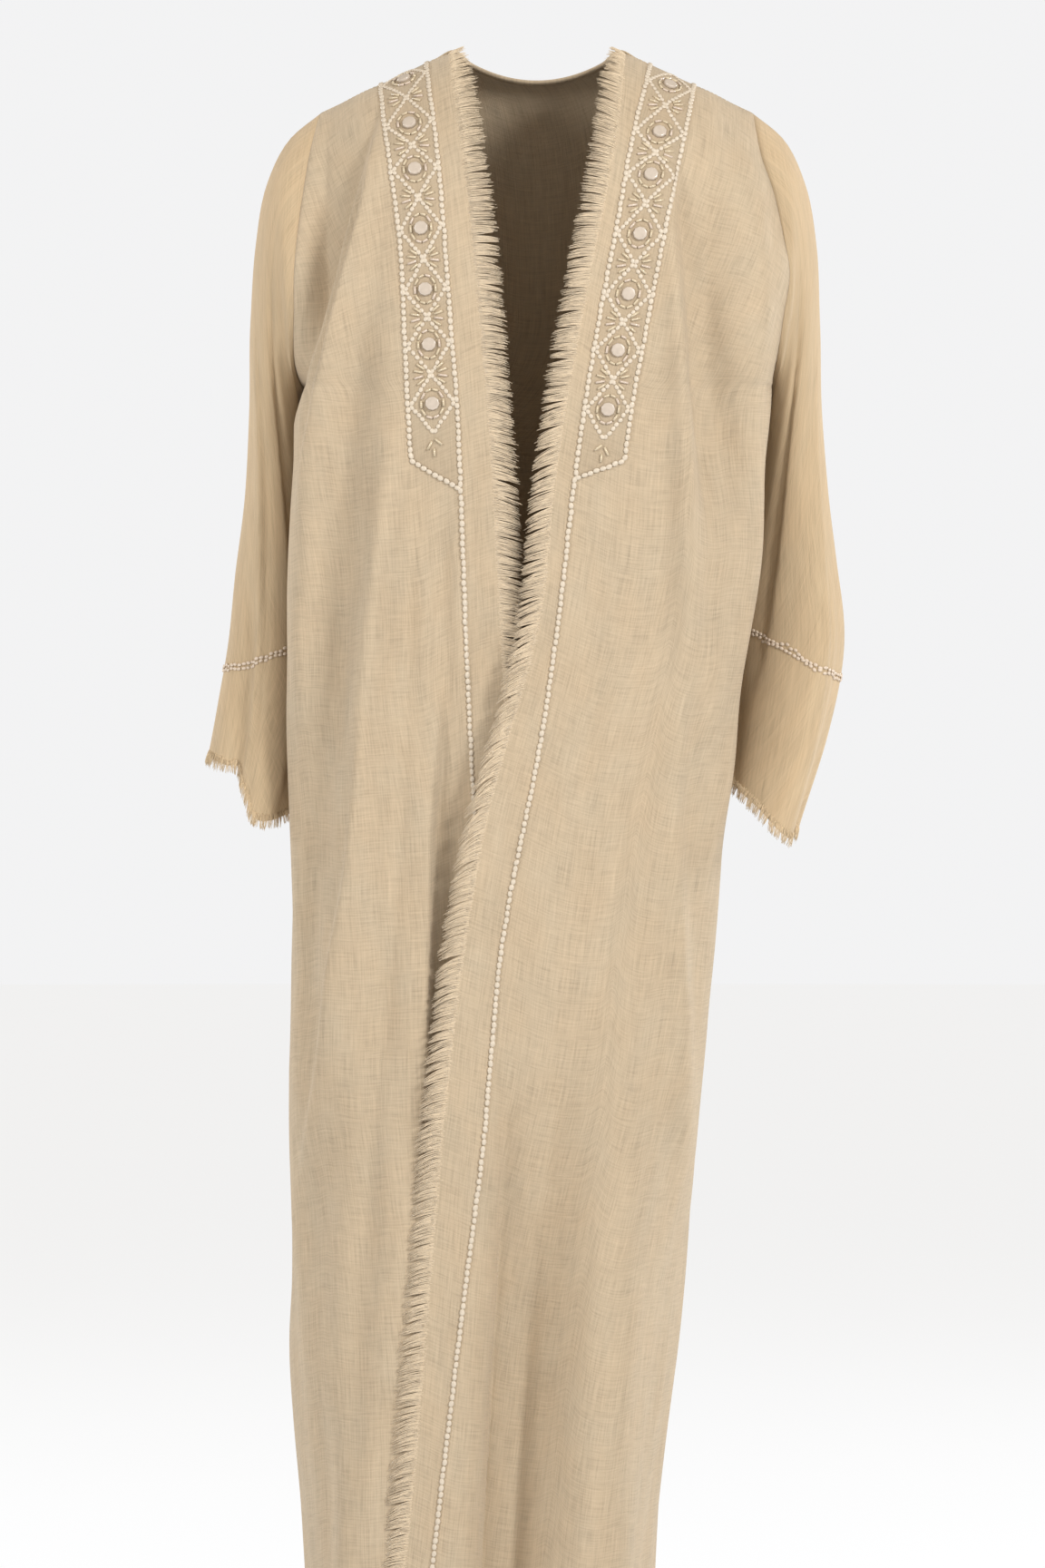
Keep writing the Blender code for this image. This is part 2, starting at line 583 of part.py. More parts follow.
def fringe_object(name, edge, away, normal, lengths, droops, material, closed=False):
    """A narrow strip along a cloth edge with a tapering lock fused to each stretch of it."""
    count = len(edge)
    sections = []
    for point, out, up in zip(edge, away, normal):
        near, far = point + out * FRINGE_GAP, point + out * (FRINGE_GAP + STRIP_WIDTH)
        sections.append([near, far, far - up * FRINGE_WALL, near - up * FRINGE_WALL])
    points = [p for section in sections for p in section]
    faces = []
    stretches = count if closed else count - 1
    for i in range(stretches):
        a, b = 4 * i, 4 * ((i + 1) % count)
        faces += [[a, a + 1, b + 1, b], [a + 3, a, b, b + 3], [a + 2, a + 3, b + 3, b + 2]]
        corners = [a + 1, b + 1, b + 2, a + 2]
        root = [points[k] for k in corners]
        middle = sum(root) / 4
        out = away[i] + away[(i + 1) % count]
        out = out / np.linalg.norm(out) + np.array([0, 0, -droops[i]])
        tip = middle + out / np.linalg.norm(out) * lengths[i]
        start = len(points)
        thin = (0.6, LOCK_TIP_SHARE)
        across = (root[1] + root[2] - root[0] - root[3]) / 2
        up = (root[0] + root[1] - root[2] - root[3]) / 2
        for k in ((-1, 1), (1, 1), (1, -1), (-1, -1)):
            points.append(tip + across * k[0] / 2 * thin[1] + up * k[1] / 2 * thin[0])
        for k in range(4):
            n = (k + 1) % 4
            faces.append([corners[k], start + k, start + n, corners[n]])
        faces.append([start, start + 3, start + 2, start + 1])
    if not closed:
        end = 4 * (count - 1)
        faces += [[3, 2, 1, 0], [end, end + 1, end + 2, end + 3]]
    return new_object(name, points, facing_out(points, faces), material)


def subdivided(line, spacing, extra, closed=False):
    """The points of a polyline with evenly spaced ones between, and extra columns of numbers carried along."""
    rows = np.hstack([line, extra])
    if closed:
        rows = np.vstack([rows, rows[:1]])
    out = []
    for a, b in zip(rows, rows[1:]):
        parts = max(1, round(float(np.linalg.norm(b[:3] - a[:3])) / spacing))
        out += [a + (b - a) * k / parts for k in range(parts)]
    if not closed:
        out.append(rows[-1])
    return np.array(out)


def edge_fringe(name, line, inner_line, normals, spacing, length, material, closed=False):
    """Fringe on the border of a wall. The inner line is the wall's next line of points."""
    away = line - inner_line
    away /= np.linalg.norm(away, axis=1, keepdims=True)
    taken = subdivided(line, spacing, np.hstack([away, normals]), closed)
    edge, out, up = taken[:, :3], taken[:, 3:6], taken[:, 6:9]
    tangent = np.roll(edge, -1, axis=0) - np.roll(edge, 1, axis=0)
    if not closed:
        tangent[0], tangent[-1] = edge[1] - edge[0], edge[-1] - edge[-2]
    tangent /= np.linalg.norm(tangent, axis=1, keepdims=True)
    up /= np.linalg.norm(up, axis=1, keepdims=True)
    across = np.cross(tangent, up)
    across *= np.sign((across * out).sum(axis=1, keepdims=True))
    out = across / np.linalg.norm(across, axis=1, keepdims=True)
    count = len(edge)
    lengths = [length * (1 + LOCK_UNEVEN * uneven(k)) for k in range(count)]
    droop = 0.0 if closed else LOCK_DROOP
    droops = [droop * (1 + 0.5 * uneven(k + 500)) for k in range(count)]
    return fringe_object(name, edge, out, up, lengths, droops, material, closed)


def between(grid, row, column):
    """A point of a grid at fractional indices, on its facets."""
    i, j = min(int(row), grid.shape[0] - 2), min(int(column), grid.shape[1] - 2)
    r, c = row - i, column - j
    top = grid[i, j] * (1 - c) + grid[i, j + 1] * c
    foot = grid[i + 1, j] * (1 - c) + grid[i + 1, j + 1] * c
    return top * (1 - r) + foot * r


def beadwork_object(name, side, grid, normals, material):
    """A beaded panel: a thin wall on the front's own points, moved out, with a raised boss for each large bead."""
    first, last = FRONT_COLUMNS.index(1.0), FRONT_COLUMNS.index(2.0)
    heights = [-between(grid, k, (first + last) / 2)[2] for k in range(len(grid))]
    rows = {PANEL_TOP_ROW}
    rows |= {float(k) for k in range(1, len(grid)) if heights[k] < -PANEL_FOOT_Z}
    boss_rows = set()
    for k in range(LATTICE_COUNT):
        middle = -LATTICE_TOP_Z + k * LATTICE_PITCH
        for z in (middle - BOSS_SIZE / 2, middle + BOSS_SIZE / 2):
            row = float(np.interp(z, heights, range(len(heights))))
            near = [r for r in rows if abs(r - row) < 0.08 and r != PANEL_TOP_ROW]
            rows -= set(near)
            rows.add(row)
            boss_rows.add(row)
        rows.add(float(np.interp(middle + LATTICE_PITCH / 2, heights, range(len(heights)))))
    foot = float(np.interp(-PANEL_FOOT_Z, heights, range(len(heights))))
    rows = sorted(r for r in rows if PANEL_TOP_ROW <= r < foot - 0.12) + [foot]
    width = last - first
    middle = first + width / 2
    half_boss = width * BOSS_SIZE / 0.040 / 2
    columns = [float(first), middle - half_boss, middle + half_boss, float(last)]
    columns = sorted(set(columns + [float(k) for k in range(first + 1, last)]))
    outer, inner = [], []
    for row in rows:
        over, under = [], []
        for column in columns:
            share = (column - first) / width
            slant = 0.0
            if row == foot:
                slant = (1 - share) * PANEL_SLANT / max(1e-6, heights[int(row) + 1] - heights[int(row)])
            point = between(grid, row + slant, column)
            up = between(normals, row + slant, column)
            up = up / np.linalg.norm(up)
            raised = BOSS_HEIGHT if row in boss_rows and abs(column - middle) < half_boss + 1e-6 else 0.0
            base = 0.0006
            under.append(point + up * base)
            over.append(point + up * (base + PANEL_WALL + raised))
        outer.append(over)
        inner.append(under)
    return wall_object(name, np.array(outer), np.array(inner), material)


def clear_scene():
    for found in list(bpy.data.objects):
        bpy.data.objects.remove(found)


def main():
    clear_scene()
    cloth = new_material("sand_cloth", SAND, 0.85)
    thread = new_material("sand_thread", SAND_THREAD, 0.9)
    beads = new_material("cream_beads", CREAM_BEAD, 0.4)
    middle = np.array([0.0, 0.0, -0.5])
    fronts, front_normals = {}, {}
    for side, name in (("r", "front_right"), ("l", "front_left")):
        fronts[side] = folded(name, front_grid(side), middle)
    back = folded("back", back_grid(), middle)
    back_normals = outward(grid_normals(back), back, middle)
    chest_row = YOKE_STEPS
    under_row = chest_row + len(ARMHOLE_ROWS) - 1
    for side, column in (("r", 0), ("l", -1)):
        front_normals[side] = outward(grid_normals(fronts[side]), fronts[side], middle)
        normals = front_normals[side]
        shared = normals[under_row:, -1] + back_normals[under_row:, column]
        shared /= np.linalg.norm(shared, axis=1, keepdims=True)
        normals[under_row:, -1] = shared
        back_normals[under_row:, column] = shared
        normals[0, :, 1] = 0.0
        normals[0] /= np.linalg.norm(normals[0], axis=1, keepdims=True)
    shoulder = [j for j in range(BACK_STEPS + 1) if abs(j * 2 / BACK_STEPS - 1) >= NECK_SHARE - 1e-9]
    back_normals[0, shoulder, 1] = 0.0
    back_normals[0, shoulder] /= np.linalg.norm(back_normals[0, shoulder], axis=1, keepdims=True)

    for side, name, column, inner_column in (("r", "right", 0, 1), ("l", "left", -1, -2)):
        front, normals = fronts[side], front_normals[side]
        armhole = np.vstack([front[: under_row + 1, -1], back[1:under_row, column][::-1]])
        sleeve = sleeve_grid(side, armhole)
        centre = sleeve.mean(axis=1, keepdims=True)
        sleeve_normals = grid_normals(sleeve, closed=True)
        if ((sleeve - centre) * sleeve_normals).sum() < 0:
            sleeve_normals = -sleeve_normals
        body = np.vstack([normals[: under_row + 1, -1], back_normals[1:under_row, column][::-1]])
        for k, (own, other) in enumerate(zip(sleeve_normals[0], body)):
            if np.dot(own, other) > 0.2:
                mean = (own + other) / np.linalg.norm(own + other)
                sleeve_normals[0, k] = mean
                if k <= under_row:
                    normals[k, -1] = mean
                if k > under_row or k == 0:
                    back_normals[(2 * under_row - k) % (2 * under_row), column] = mean
        outward_x = np.array([SIDE_SIGN[side] * SEAM_GAP, 0, 0])
        sleeve[0] += outward_x
        sleeve_inner = sleeve - sleeve_normals * WALL
        wall_object(f"sleeve_{name}", sleeve, sleeve_inner, cloth, closed=True)
        edge_fringe(
            f"fringe_cuff_{name}", sleeve[-1], sleeve[-2], sleeve_normals[-1], CUFF_SPACING, CUFF_LOCK, thread, True
        )

        front[0] = drawn_back(front[0], front[1], SEAM_GAP / 2)
        seam = slice(under_row, None)
        front[seam, -1] = drawn_back(front[seam, -1], front[seam, -2], SEAM_GAP / 2)
        back[seam, column] = drawn_back(back[seam, column], back[seam, inner_column], SEAM_GAP / 2)
        wall_object(f"front_{name}", front, front - normals * WALL, cloth)
        edge_fringe(
            f"fringe_front_{name}", front[:, 0], front[:, 1], normals[:, 0], FRONT_SPACING, FRONT_LOCK, thread
        )
        beadwork_object(f"beadwork_{name}", side, front, normals, beads)
    back[0, shoulder] = drawn_back(back[0, shoulder], back[1, shoulder], SEAM_GAP / 2)
    wall_object("back", back, back - back_normals * WALL, cloth)


main()
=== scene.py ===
"""The cloak's look: finer cloth, frayed threads, beads and their finishes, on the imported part's frame.

Metres, +Z up. The wearer faces -Y, so the wearer's right is -X ("r") and the left is +X ("l").
The form comes from the same sizes as the part's source, on a finer grid and with more creases.
"""

import math

import bmesh
import bpy
import numpy as np
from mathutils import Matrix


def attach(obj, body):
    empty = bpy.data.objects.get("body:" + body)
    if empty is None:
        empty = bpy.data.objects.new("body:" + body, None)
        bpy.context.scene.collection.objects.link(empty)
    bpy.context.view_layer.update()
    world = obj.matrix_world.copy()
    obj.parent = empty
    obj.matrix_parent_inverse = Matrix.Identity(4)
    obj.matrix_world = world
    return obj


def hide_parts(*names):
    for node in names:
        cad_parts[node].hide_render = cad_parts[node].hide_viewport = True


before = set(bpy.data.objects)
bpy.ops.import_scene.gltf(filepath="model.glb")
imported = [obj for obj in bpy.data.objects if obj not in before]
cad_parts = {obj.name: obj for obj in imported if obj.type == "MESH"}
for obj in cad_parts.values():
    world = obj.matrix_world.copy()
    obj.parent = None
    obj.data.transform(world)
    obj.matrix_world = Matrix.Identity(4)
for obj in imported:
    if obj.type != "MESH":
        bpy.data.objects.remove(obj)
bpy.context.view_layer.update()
rng = np.random.default_rng(20)

# Driving dimensions
HEM_Z = -1.43
NECK_X = 0.070
SHOULDER_X = 0.182
SHOULDER_DROP = 0.053
BACK_NECK_Y = 0.052
BACK_NECK_DROP = 0.020
CHEST_Z = -0.200
UNDERARM_Z = -0.290
WALL = 0.0015
SEAM_GAP = 0.0003
SIDE_SIGN = {"r": -1.0, "l": 1.0}

# Level sections of the hanging cloth. Sizes on X are distances from the middle plane on each side.
# The wing is where a front reaches furthest out, the side is where the arm lies, and the corner is the back's.
SECTION_COLUMNS = (
    "z", "wing_r", "wing_l", "wing_y", "side_r", "side_l", "side_y",
    "corner_r", "corner_l", "corner_y", "front_y", "back_y",
)
SECTIONS = (
    (-0.200, 0.203, 0.211, -0.070, 0.206, 0.206, 0.005, 0.180, 0.180, 0.070, -0.126, 0.116),
    (-0.290, 0.199, 0.193, -0.070, 0.190, 0.187, 0.008, 0.166, 0.164, 0.074, -0.134, 0.119),
    (-0.360, 0.204, 0.190, -0.072, 0.166, 0.161, 0.008, 0.158, 0.154, 0.074, -0.132, 0.117),
    (-0.450, 0.209, 0.186, -0.074, 0.155, 0.141, 0.008, 0.152, 0.144, 0.072, -0.127, 0.114),
    (-0.550, 0.211, 0.169, -0.072, 0.152, 0.126, 0.008, 0.152, 0.136, 0.074, -0.126, 0.119),
    (-0.650, 0.206, 0.159, -0.064, 0.156, 0.120, 0.010, 0.158, 0.132, 0.078, -0.128, 0.126),
    (-0.800, 0.203, 0.145, -0.048, 0.182, 0.131, 0.014, 0.170, 0.128, 0.080, -0.130, 0.130),
    (-0.950, 0.198, 0.130, -0.036, 0.191, 0.125, 0.020, 0.176, 0.120, 0.082, -0.132, 0.134),
    (-1.100, 0.206, 0.117, -0.030, 0.199, 0.113, 0.024, 0.182, 0.108, 0.084, -0.134, 0.138),
    (-1.270, 0.191, 0.097, -0.026, 0.186, 0.096, 0.028, 0.172, 0.094, 0.086, -0.136, 0.142),
    (-1.430, 0.183, 0.092, -0.024, 0.180, 0.092, 0.030, 0.168, 0.090, 0.088, -0.138, 0.146),
)

# Lines down each front, as X at a height: the cloth's edge, the line of beads and the beaded panel's outer side
GUIDE_COLUMNS = ("z", "edge_r", "bead_r", "panel_r", "edge_l", "bead_l", "panel_l")
GUIDES = (
    (0.000, -0.0700, -0.0940, -0.1340, 0.0700, 0.0985, 0.1390),
    (-0.034, -0.0670, -0.0905, -0.1310, 0.0680, 0.0915, 0.1320),
    (-0.081, -0.0605, -0.0843, -0.1255, 0.0620, 0.0800, 0.1230),
    (-0.158, -0.0510, -0.0773, -0.1150, 0.0480, 0.0665, 0.1070),
    (-0.242, -0.0430, -0.0713, -0.1095, 0.0320, 0.0505, 0.0910),
    (-0.317, -0.0365, -0.0656, -0.1060, 0.0190, 0.0385, 0.0770),
    (-0.379, -0.0325, -0.0630, -0.1030, 0.0100, 0.0300, 0.0690),
    (-0.484, -0.0265, -0.0595, -0.0985, -0.0015, 0.0180, 0.0570),
    (-0.544, -0.0235, -0.0575, -0.0965, -0.0160, 0.0100, 0.0490),
    (-0.626, -0.0190, -0.0530, -0.0920, -0.0400, -0.0045, 0.0350),
    (-0.754, -0.0140, -0.0470, -0.0870, -0.0630, -0.0290, 0.0110),
    (-0.874, -0.0100, -0.0440, -0.0840, -0.0780, -0.0405, -0.0010),
    (-1.024, -0.0060, -0.0400, -0.0800, -0.0910, -0.0580, -0.0180),
    (-1.204, -0.0020, -0.0370, -0.0770, -0.1060, -0.0790, -0.0390),
    (-1.430, 0.0000, -0.0350, -0.0750, -0.1310, -0.1040, -0.0640),
)

# The armholes above the chest, as distances from the middle plane
ARMHOLE_COLUMNS = ("z", "front_r", "front_l", "back_r", "back_l")
ARMHOLES = (
    (-0.053, 0.182, 0.182, 0.182, 0.182),
    (-0.090, 0.190, 0.187, 0.186, 0.186),
    (-0.130, 0.196, 0.199, 0.187, 0.187),
    (-0.171, 0.201, 0.207, 0.184, 0.184),
    (-0.200, 0.203, 0.211, 0.180, 0.180),
)

# Rows of a panel from the chest to the underarm: height at the middle, height at the armhole,
# and how far round from the wing (or the corner) to the side the armhole has come
ARMHOLE_ROWS = (
    (-0.200, -0.200, 0.00),
    (-0.224, -0.226, 0.05),
    (-0.248, -0.250, 0.17),
    (-0.272, -0.270, 0.36),
    (-0.297, -0.284, 0.65),
    (-0.323, UNDERARM_Z, 1.00),
)
YOKE_STEPS = 6
HANG_STEPS = 17

# Large folds: the line that each follows, as X at a height, and how far the cloth stands out (+) or in (-) there.
# Each has its panel, kind, side, width and rows of (z, x, depth). A ridge fades on both sides of its line, and
# a step keeps its depth on the side that its sign names.
FOLDS = (
    ("front_right", "ridge", 0, 0.022, (
        (-0.20, -0.113, 0.000), (-0.38, -0.121, 0.006), (-0.52, -0.137, 0.008), (-0.63, -0.155, 0.009),
        (-0.76, -0.167, 0.009), (-0.93, -0.187, 0.004), (-1.05, -0.195, 0.000),
    )),
    ("front_right", "step", -1, 0.009, (
        (-0.050, -0.122, 0.000), (-0.130, -0.149, -0.014), (-0.215, -0.171, -0.024),
        (-0.270, -0.187, -0.012), (-0.320, -0.200, 0.000),
    )),
    ("front_right", "step", 1, 0.022, (
        (-0.280, -0.052, 0.000), (-0.380, -0.060, -0.006), (-0.500, -0.066, -0.008), (-0.620, -0.080, -0.008),
        (-0.800, -0.088, -0.008), (-0.900, -0.090, -0.009), (-1.000, -0.090, -0.010), (-1.200, -0.112, -0.010),
        (-1.430, -0.138, -0.010),
    )),
    ("front_left", "step", -1, 0.030, (
        (-0.250, 0.050, 0.000), (-0.380, 0.030, 0.003), (-0.600, 0.000, 0.003), (-0.870, -0.045, 0.003),
        (-1.430, -0.100, 0.003),
    )),
    ("front_left", "ridge", 0, 0.016, (
        (-0.110, 0.116, 0.000), (-0.240, 0.118, 0.005), (-0.376, 0.122, 0.006), (-0.476, 0.130, 0.006),
        (-0.560, 0.145, 0.005), (-0.680, 0.157, 0.000),
    )),
    ("both_fronts", "ridge", 0, 0.024, (
        (-0.750, 0.026, 0.000), (-0.950, 0.022, -0.004), (-1.150, 0.018, -0.004), (-1.430, 0.014, -0.003),
    )),
    ("both_fronts", "ridge", 0, 0.024, (
        (-0.850, -0.036, 0.000), (-1.050, -0.034, 0.004), (-1.430, -0.042, 0.005),
    )),
    ("back", "ridge", 0, 0.018, ((-0.28, -0.105, 0.0), (-0.60, -0.110, -0.007), (-1.43, -0.122, -0.015))),
    ("back", "ridge", 0, 0.020, ((-0.24, -0.060, 0.0), (-0.60, -0.066, 0.006), (-1.43, -0.082, 0.012))),
    ("back", "ridge", 0, 0.019, ((-0.22, -0.018, 0.0), (-0.60, -0.024, -0.008), (-1.43, -0.044, -0.017))),
    ("back", "ridge", 0, 0.019, ((-0.26, 0.020, 0.0), (-0.60, 0.012, 0.007), (-1.43, -0.008, 0.013))),
    ("back", "ridge", 0, 0.018, ((-0.24, 0.062, 0.0), (-0.60, 0.050, -0.007), (-1.43, 0.030, -0.016))),
    ("back", "ridge", 0, 0.018, ((-0.30, 0.105, 0.0), (-0.65, 0.088, 0.005), (-1.43, 0.062, 0.009))),
)

# Places of a panel's columns. On a front 0 is the edge, 1 the bead line, 2 the beaded panel's outer side and
# 3 the side seam.
FRONT_COLUMNS = (0.0, 0.5, 1.0, 1.34, 1.67, 2.0, 2.12, 2.24, 2.36, 2.48, 2.6, 2.7, 2.8, 2.9, 3.0)
BACK_STEPS = 24
NECK_SHARE = 5 / 12

# Rings of a sleeve: its outer and inner line in the front view, their depths, and its half depth to front and back
SLEEVE_COLUMNS = (
    "outer_x", "outer_z", "outer_y", "inner_x", "inner_z", "inner_y", "half_front", "half_back", "crease",
)
SLEEVES = {
    "r": (
        (0.182, -0.053, 0.000, 0.190, -0.290, 0.008, 0.080, 0.080, 0.0),
        (0.207, -0.074, 0.000, 0.195, -0.300, 0.012, 0.078, 0.074, 0.0),
        (0.227, -0.112, 0.000, 0.1965, -0.312, 0.016, 0.070, 0.066, 0.0),
        (0.2385, -0.165, 0.000, 0.196, -0.330, 0.020, 0.062, 0.060, 0.0),
        (0.243, -0.230, 0.000, 0.193, -0.354, 0.023, 0.056, 0.056, 0.0),
        (0.2425, -0.300, 0.000, 0.188, -0.391, 0.025, 0.053, 0.053, 0.0),
        (0.246, -0.370, -0.002, 0.182, -0.435, 0.026, 0.051, 0.051, 0.1),
        (0.254, -0.440, -0.006, 0.178, -0.485, 0.026, 0.050, 0.050, 0.3),
        (0.259, -0.500, -0.010, 0.177, -0.535, 0.024, 0.051, 0.050, 0.6),
        (0.268, -0.550, -0.012, 0.178, -0.585, 0.022, 0.053, 0.050, 0.9),
        (0.278, -0.597, -0.012, 0.182, -0.630, 0.020, 0.055, 0.050, 1.0),
    ),
    "l": (
        (0.182, -0.053, 0.000, 0.187, -0.290, 0.008, 0.080, 0.080, 0.0),
        (0.207, -0.074, 0.000, 0.192, -0.300, 0.012, 0.078, 0.074, 0.0),
        (0.226, -0.112, 0.000, 0.1935, -0.312, 0.016, 0.070, 0.066, 0.0),
        (0.2375, -0.165, 0.000, 0.192, -0.330, 0.020, 0.062, 0.060, 0.0),
        (0.2405, -0.230, 0.000, 0.188, -0.354, 0.023, 0.056, 0.056, 0.0),
        (0.2405, -0.300, 0.000, 0.181, -0.390, 0.025, 0.053, 0.053, 0.0),
        (0.246, -0.370, -0.002, 0.173, -0.432, 0.027, 0.051, 0.051, 0.1),
        (0.253, -0.430, -0.006, 0.165, -0.475, 0.028, 0.050, 0.050, 0.3),
        (0.2585, -0.500, -0.012, 0.157, -0.520, 0.028, 0.050, 0.050, 0.5),
        (0.2455, -0.580, -0.020, 0.149, -0.562, 0.026, 0.050, 0.050, 0.8),
        (0.2200, -0.662, -0.026, 0.139, -0.604, 0.024, 0.050, 0.050, 1.0),
    ),
}
ARMHOLE_HOLD = (1.0, 0.62, 0.28, 0.08)

# The cuff round its ring, as (angle, swell, drop): 0 is the outer line, 90 the front, 180 the inner line and 270
# the back. Swell is the ring's radius there at a full crease, and drop is how far the hem hangs below the last ring.
CUFFS = {
    "r": (
        (0, 1.00, 0.000), (30, 0.88, 0.002), (50, 0.80, 0.003), (66, 0.80, 0.006), (76, 0.97, 0.027),
        (84, 1.10, 0.043), (100, 1.05, 0.035), (115, 1.02, 0.026), (150, 1.00, 0.010), (180, 1.00, 0.002),
        (270, 1.00, -0.006), (360, 1.00, 0.000),
    ),
    "l": (
        (0, 1.00, 0.000), (22, 0.90, 0.000), (34, 1.00, 0.008), (46, 1.10, 0.012), (80, 1.02, 0.005),
        (115, 1.00, 0.000), (150, 1.00, 0.000), (180, 1.00, 0.000), (270, 1.00, -0.010), (360, 1.00, 0.000),
    ),
}


def smooth(share):
    """0 to 1 with level ends."""
    share = np.clip(share, 0.0, 1.0)
    return share * share * (3 - 2 * share)


def curve_through(places, values):
    """A smooth function through the values, with the slope of a central difference at each."""
    places, values = np.asarray(places, float), np.asarray(values, float)
    slopes = np.gradient(values, places, axis=0)

    def value(at):
        at = np.clip(at, places[0], places[-1])
        k = np.clip(np.searchsorted(places, at, side="right") - 1, 0, len(places) - 2)
        span = places[k + 1] - places[k]
        t = (at - places[k]) / span
        if values.ndim > 1:
            span, t = (np.reshape(a, np.shape(at) + (1,) * (values.ndim - 1)) for a in (span, t))
        return (
            values[k] * (1 + 2 * t) * (1 - t) ** 2
            + slopes[k] * span * t * (1 - t) ** 2
            + values[k + 1] * t * t * (3 - 2 * t)
            + slopes[k + 1] * span * t * t * (t - 1)
        )

    return value


def columns_by_height(columns, rows):
    """A smooth function of height for each named column of a table whose rows run downwards."""
    depths = [-row[0] for row in rows]
    made = {}
    for index, name in enumerate(columns):
        if index:
            along = curve_through(depths, [row[index] for row in rows])
            made[name] = lambda z, along=along: along(-z)
    return made


SECTION = columns_by_height(SECTION_COLUMNS, SECTIONS)
GUIDE = columns_by_height(GUIDE_COLUMNS, GUIDES)
ARMHOLE = columns_by_height(ARMHOLE_COLUMNS, ARMHOLES)


def closed_curve(points, steps=14):
    """Points along a closed centripetal spline through the given points, and each given point's index."""
    points = np.asarray(points, float)
    count = len(points)
    out = []
    for i in range(count):
        p = [points[(i + k) % count] for k in (-1, 0, 1, 2)]
        t = [0.0]
        for a, b in zip(p, p[1:]):
            t.append(t[-1] + math.sqrt(np.linalg.norm(b - a)))
        for s in np.linspace(t[1], t[2], steps, endpoint=False):
            a1 = ((t[1] - s) * p[0] + (s - t[0]) * p[1]) / (t[1] - t[0])
            a2 = ((t[2] - s) * p[1] + (s - t[1]) * p[2]) / (t[2] - t[1])
            a3 = ((t[3] - s) * p[2] + (s - t[2]) * p[3]) / (t[3] - t[2])
            b1 = ((t[2] - s) * a1 + (s - t[0]) * a2) / (t[2] - t[0])
            b2 = ((t[3] - s) * a2 + (s - t[1]) * a3) / (t[3] - t[1])
            out.append(((t[2] - s) * b1 + (s - t[1]) * b2) / (t[2] - t[1]))
    return np.array(out), [i * steps for i in range(count)]


class Ring:
    """The level section of the hanging cloth at one height, as a closed curve that starts at the middle front."""

    def __init__(self, z):
        v = {name: SECTION[name](z) for name in SECTION_COLUMNS[1:]}
        middle = (v["wing_l"] - v["wing_r"]) / 2
        half = (v["wing_l"] + v["wing_r"]) / 2
        points = [(middle, v["front_y"])]
        for side in ("r", "l"):
            sign = SIDE_SIGN[side]
            run = [
                (middle + sign * half * 0.36, v["front_y"] + 0.05 * (v["wing_y"] - v["front_y"])),
                (middle + sign * half * 0.74, v["front_y"] + 0.30 * (v["wing_y"] - v["front_y"])),
                (sign * v["wing_" + side], v["wing_y"]),
                (sign * v["side_" + side], v["side_y"]),
                (sign * v["corner_" + side], v["corner_y"]),
                (middle + sign * half * 0.46, v["back_y"] - 0.08 * (v["back_y"] - v["corner_y"])),
            ]
            points += run if side == "r" else [(middle, v["back_y"])] + run[::-1]
        self.z = z
        points, marks = closed_curve(points)
        looped = np.vstack([points, points[:1]])
        self.along = np.concatenate([[0], np.cumsum(np.linalg.norm(np.diff(looped, axis=0), axis=1))])
        self.looped = looped
        at = self.along
        self.round = at[-1]
        self.marks = {
            "wing_r": at[marks[3]], "side_r": at[marks[4]], "corner_r": at[marks[5]], "back": at[marks[7]],
            "corner_l": at[marks[9]], "side_l": at[marks[10]], "wing_l": at[marks[11]],
        }
        split = int(marks[11])
        front = np.vstack([looped[split:-1], looped[: marks[3] + 1]])
        lengths = np.concatenate([at[split:-1] - self.round, at[: marks[3] + 1]])
        self.front_x, self.front_along = front[::-1, 0], lengths[::-1]

    def at(self, length):
        """The point that far round the ring."""
        length = length % self.round
        return np.array([np.interp(length, self.along, self.looped[:, k]) for k in (0, 1)] + [self.z])

    def front_at(self, x):
        """How far round the ring the front passes this X."""
        return float(np.interp(x, self.front_x, self.front_along))


RINGS = {}


def ring(z):
    key = round(z, 5)
    if key not in RINGS:
        RINGS[key] = Ring(key)
    return RINGS[key]


def hang_rows():
    """(height at the middle, height at the side, how far round the armhole has come) from the chest to the hem."""
    rows = list(ARMHOLE_ROWS)
    middle, side = rows[-1][:2]
    for step in range(1, HANG_STEPS + 1):
        share = step / HANG_STEPS
        rows.append((middle + (HEM_Z - middle) * share, side + (HEM_Z - side) * share, 1.0))
    return rows


def side_length(level, side, front, turned):
    """How far round the ring a panel ends: at the armhole above the underarm, and at the side seam below."""
    start = level.marks[("wing_" if front else "corner_") + side]
    return start + (level.marks["side_" + side] - start) * turned


def front_hang_point(side, place, row):
    """A point of a front below the chest."""
    z_middle, z_side, turned = row
    share = place / FRONT_COLUMNS[-1]
    level = ring(z_side + (z_middle - z_side) * smooth(1.0 - share))
    lines = [GUIDE[name + side](level.z) for name in ("edge_", "bead_", "panel_")]
    if place <= 2:
        k = min(int(place), 1)
        return level.at(level.front_at(lines[k] + (lines[k + 1] - lines[k]) * (place - k)))
    start = level.front_at(lines[2])
    end = side_length(level, side, True, turned)
    if side == "l":
        end -= level.round
    return level.at(start + (end - start) * (place - 2))


def shoulder_z(x):
    """Height of the shoulder seam."""
    return -SHOULDER_DROP * max(0.0, (abs(x) - NECK_X) / (SHOULDER_X - NECK_X))


def yoke_path(top, chest, share):
    """Depth and height on the quarter round from the shoulder to the chest."""
    turn = share * math.pi / 2
    return top[1] + (chest[1] - top[1]) * math.sin(turn), top[2] + (chest[2] - top[2]) * (1 - math.cos(turn))


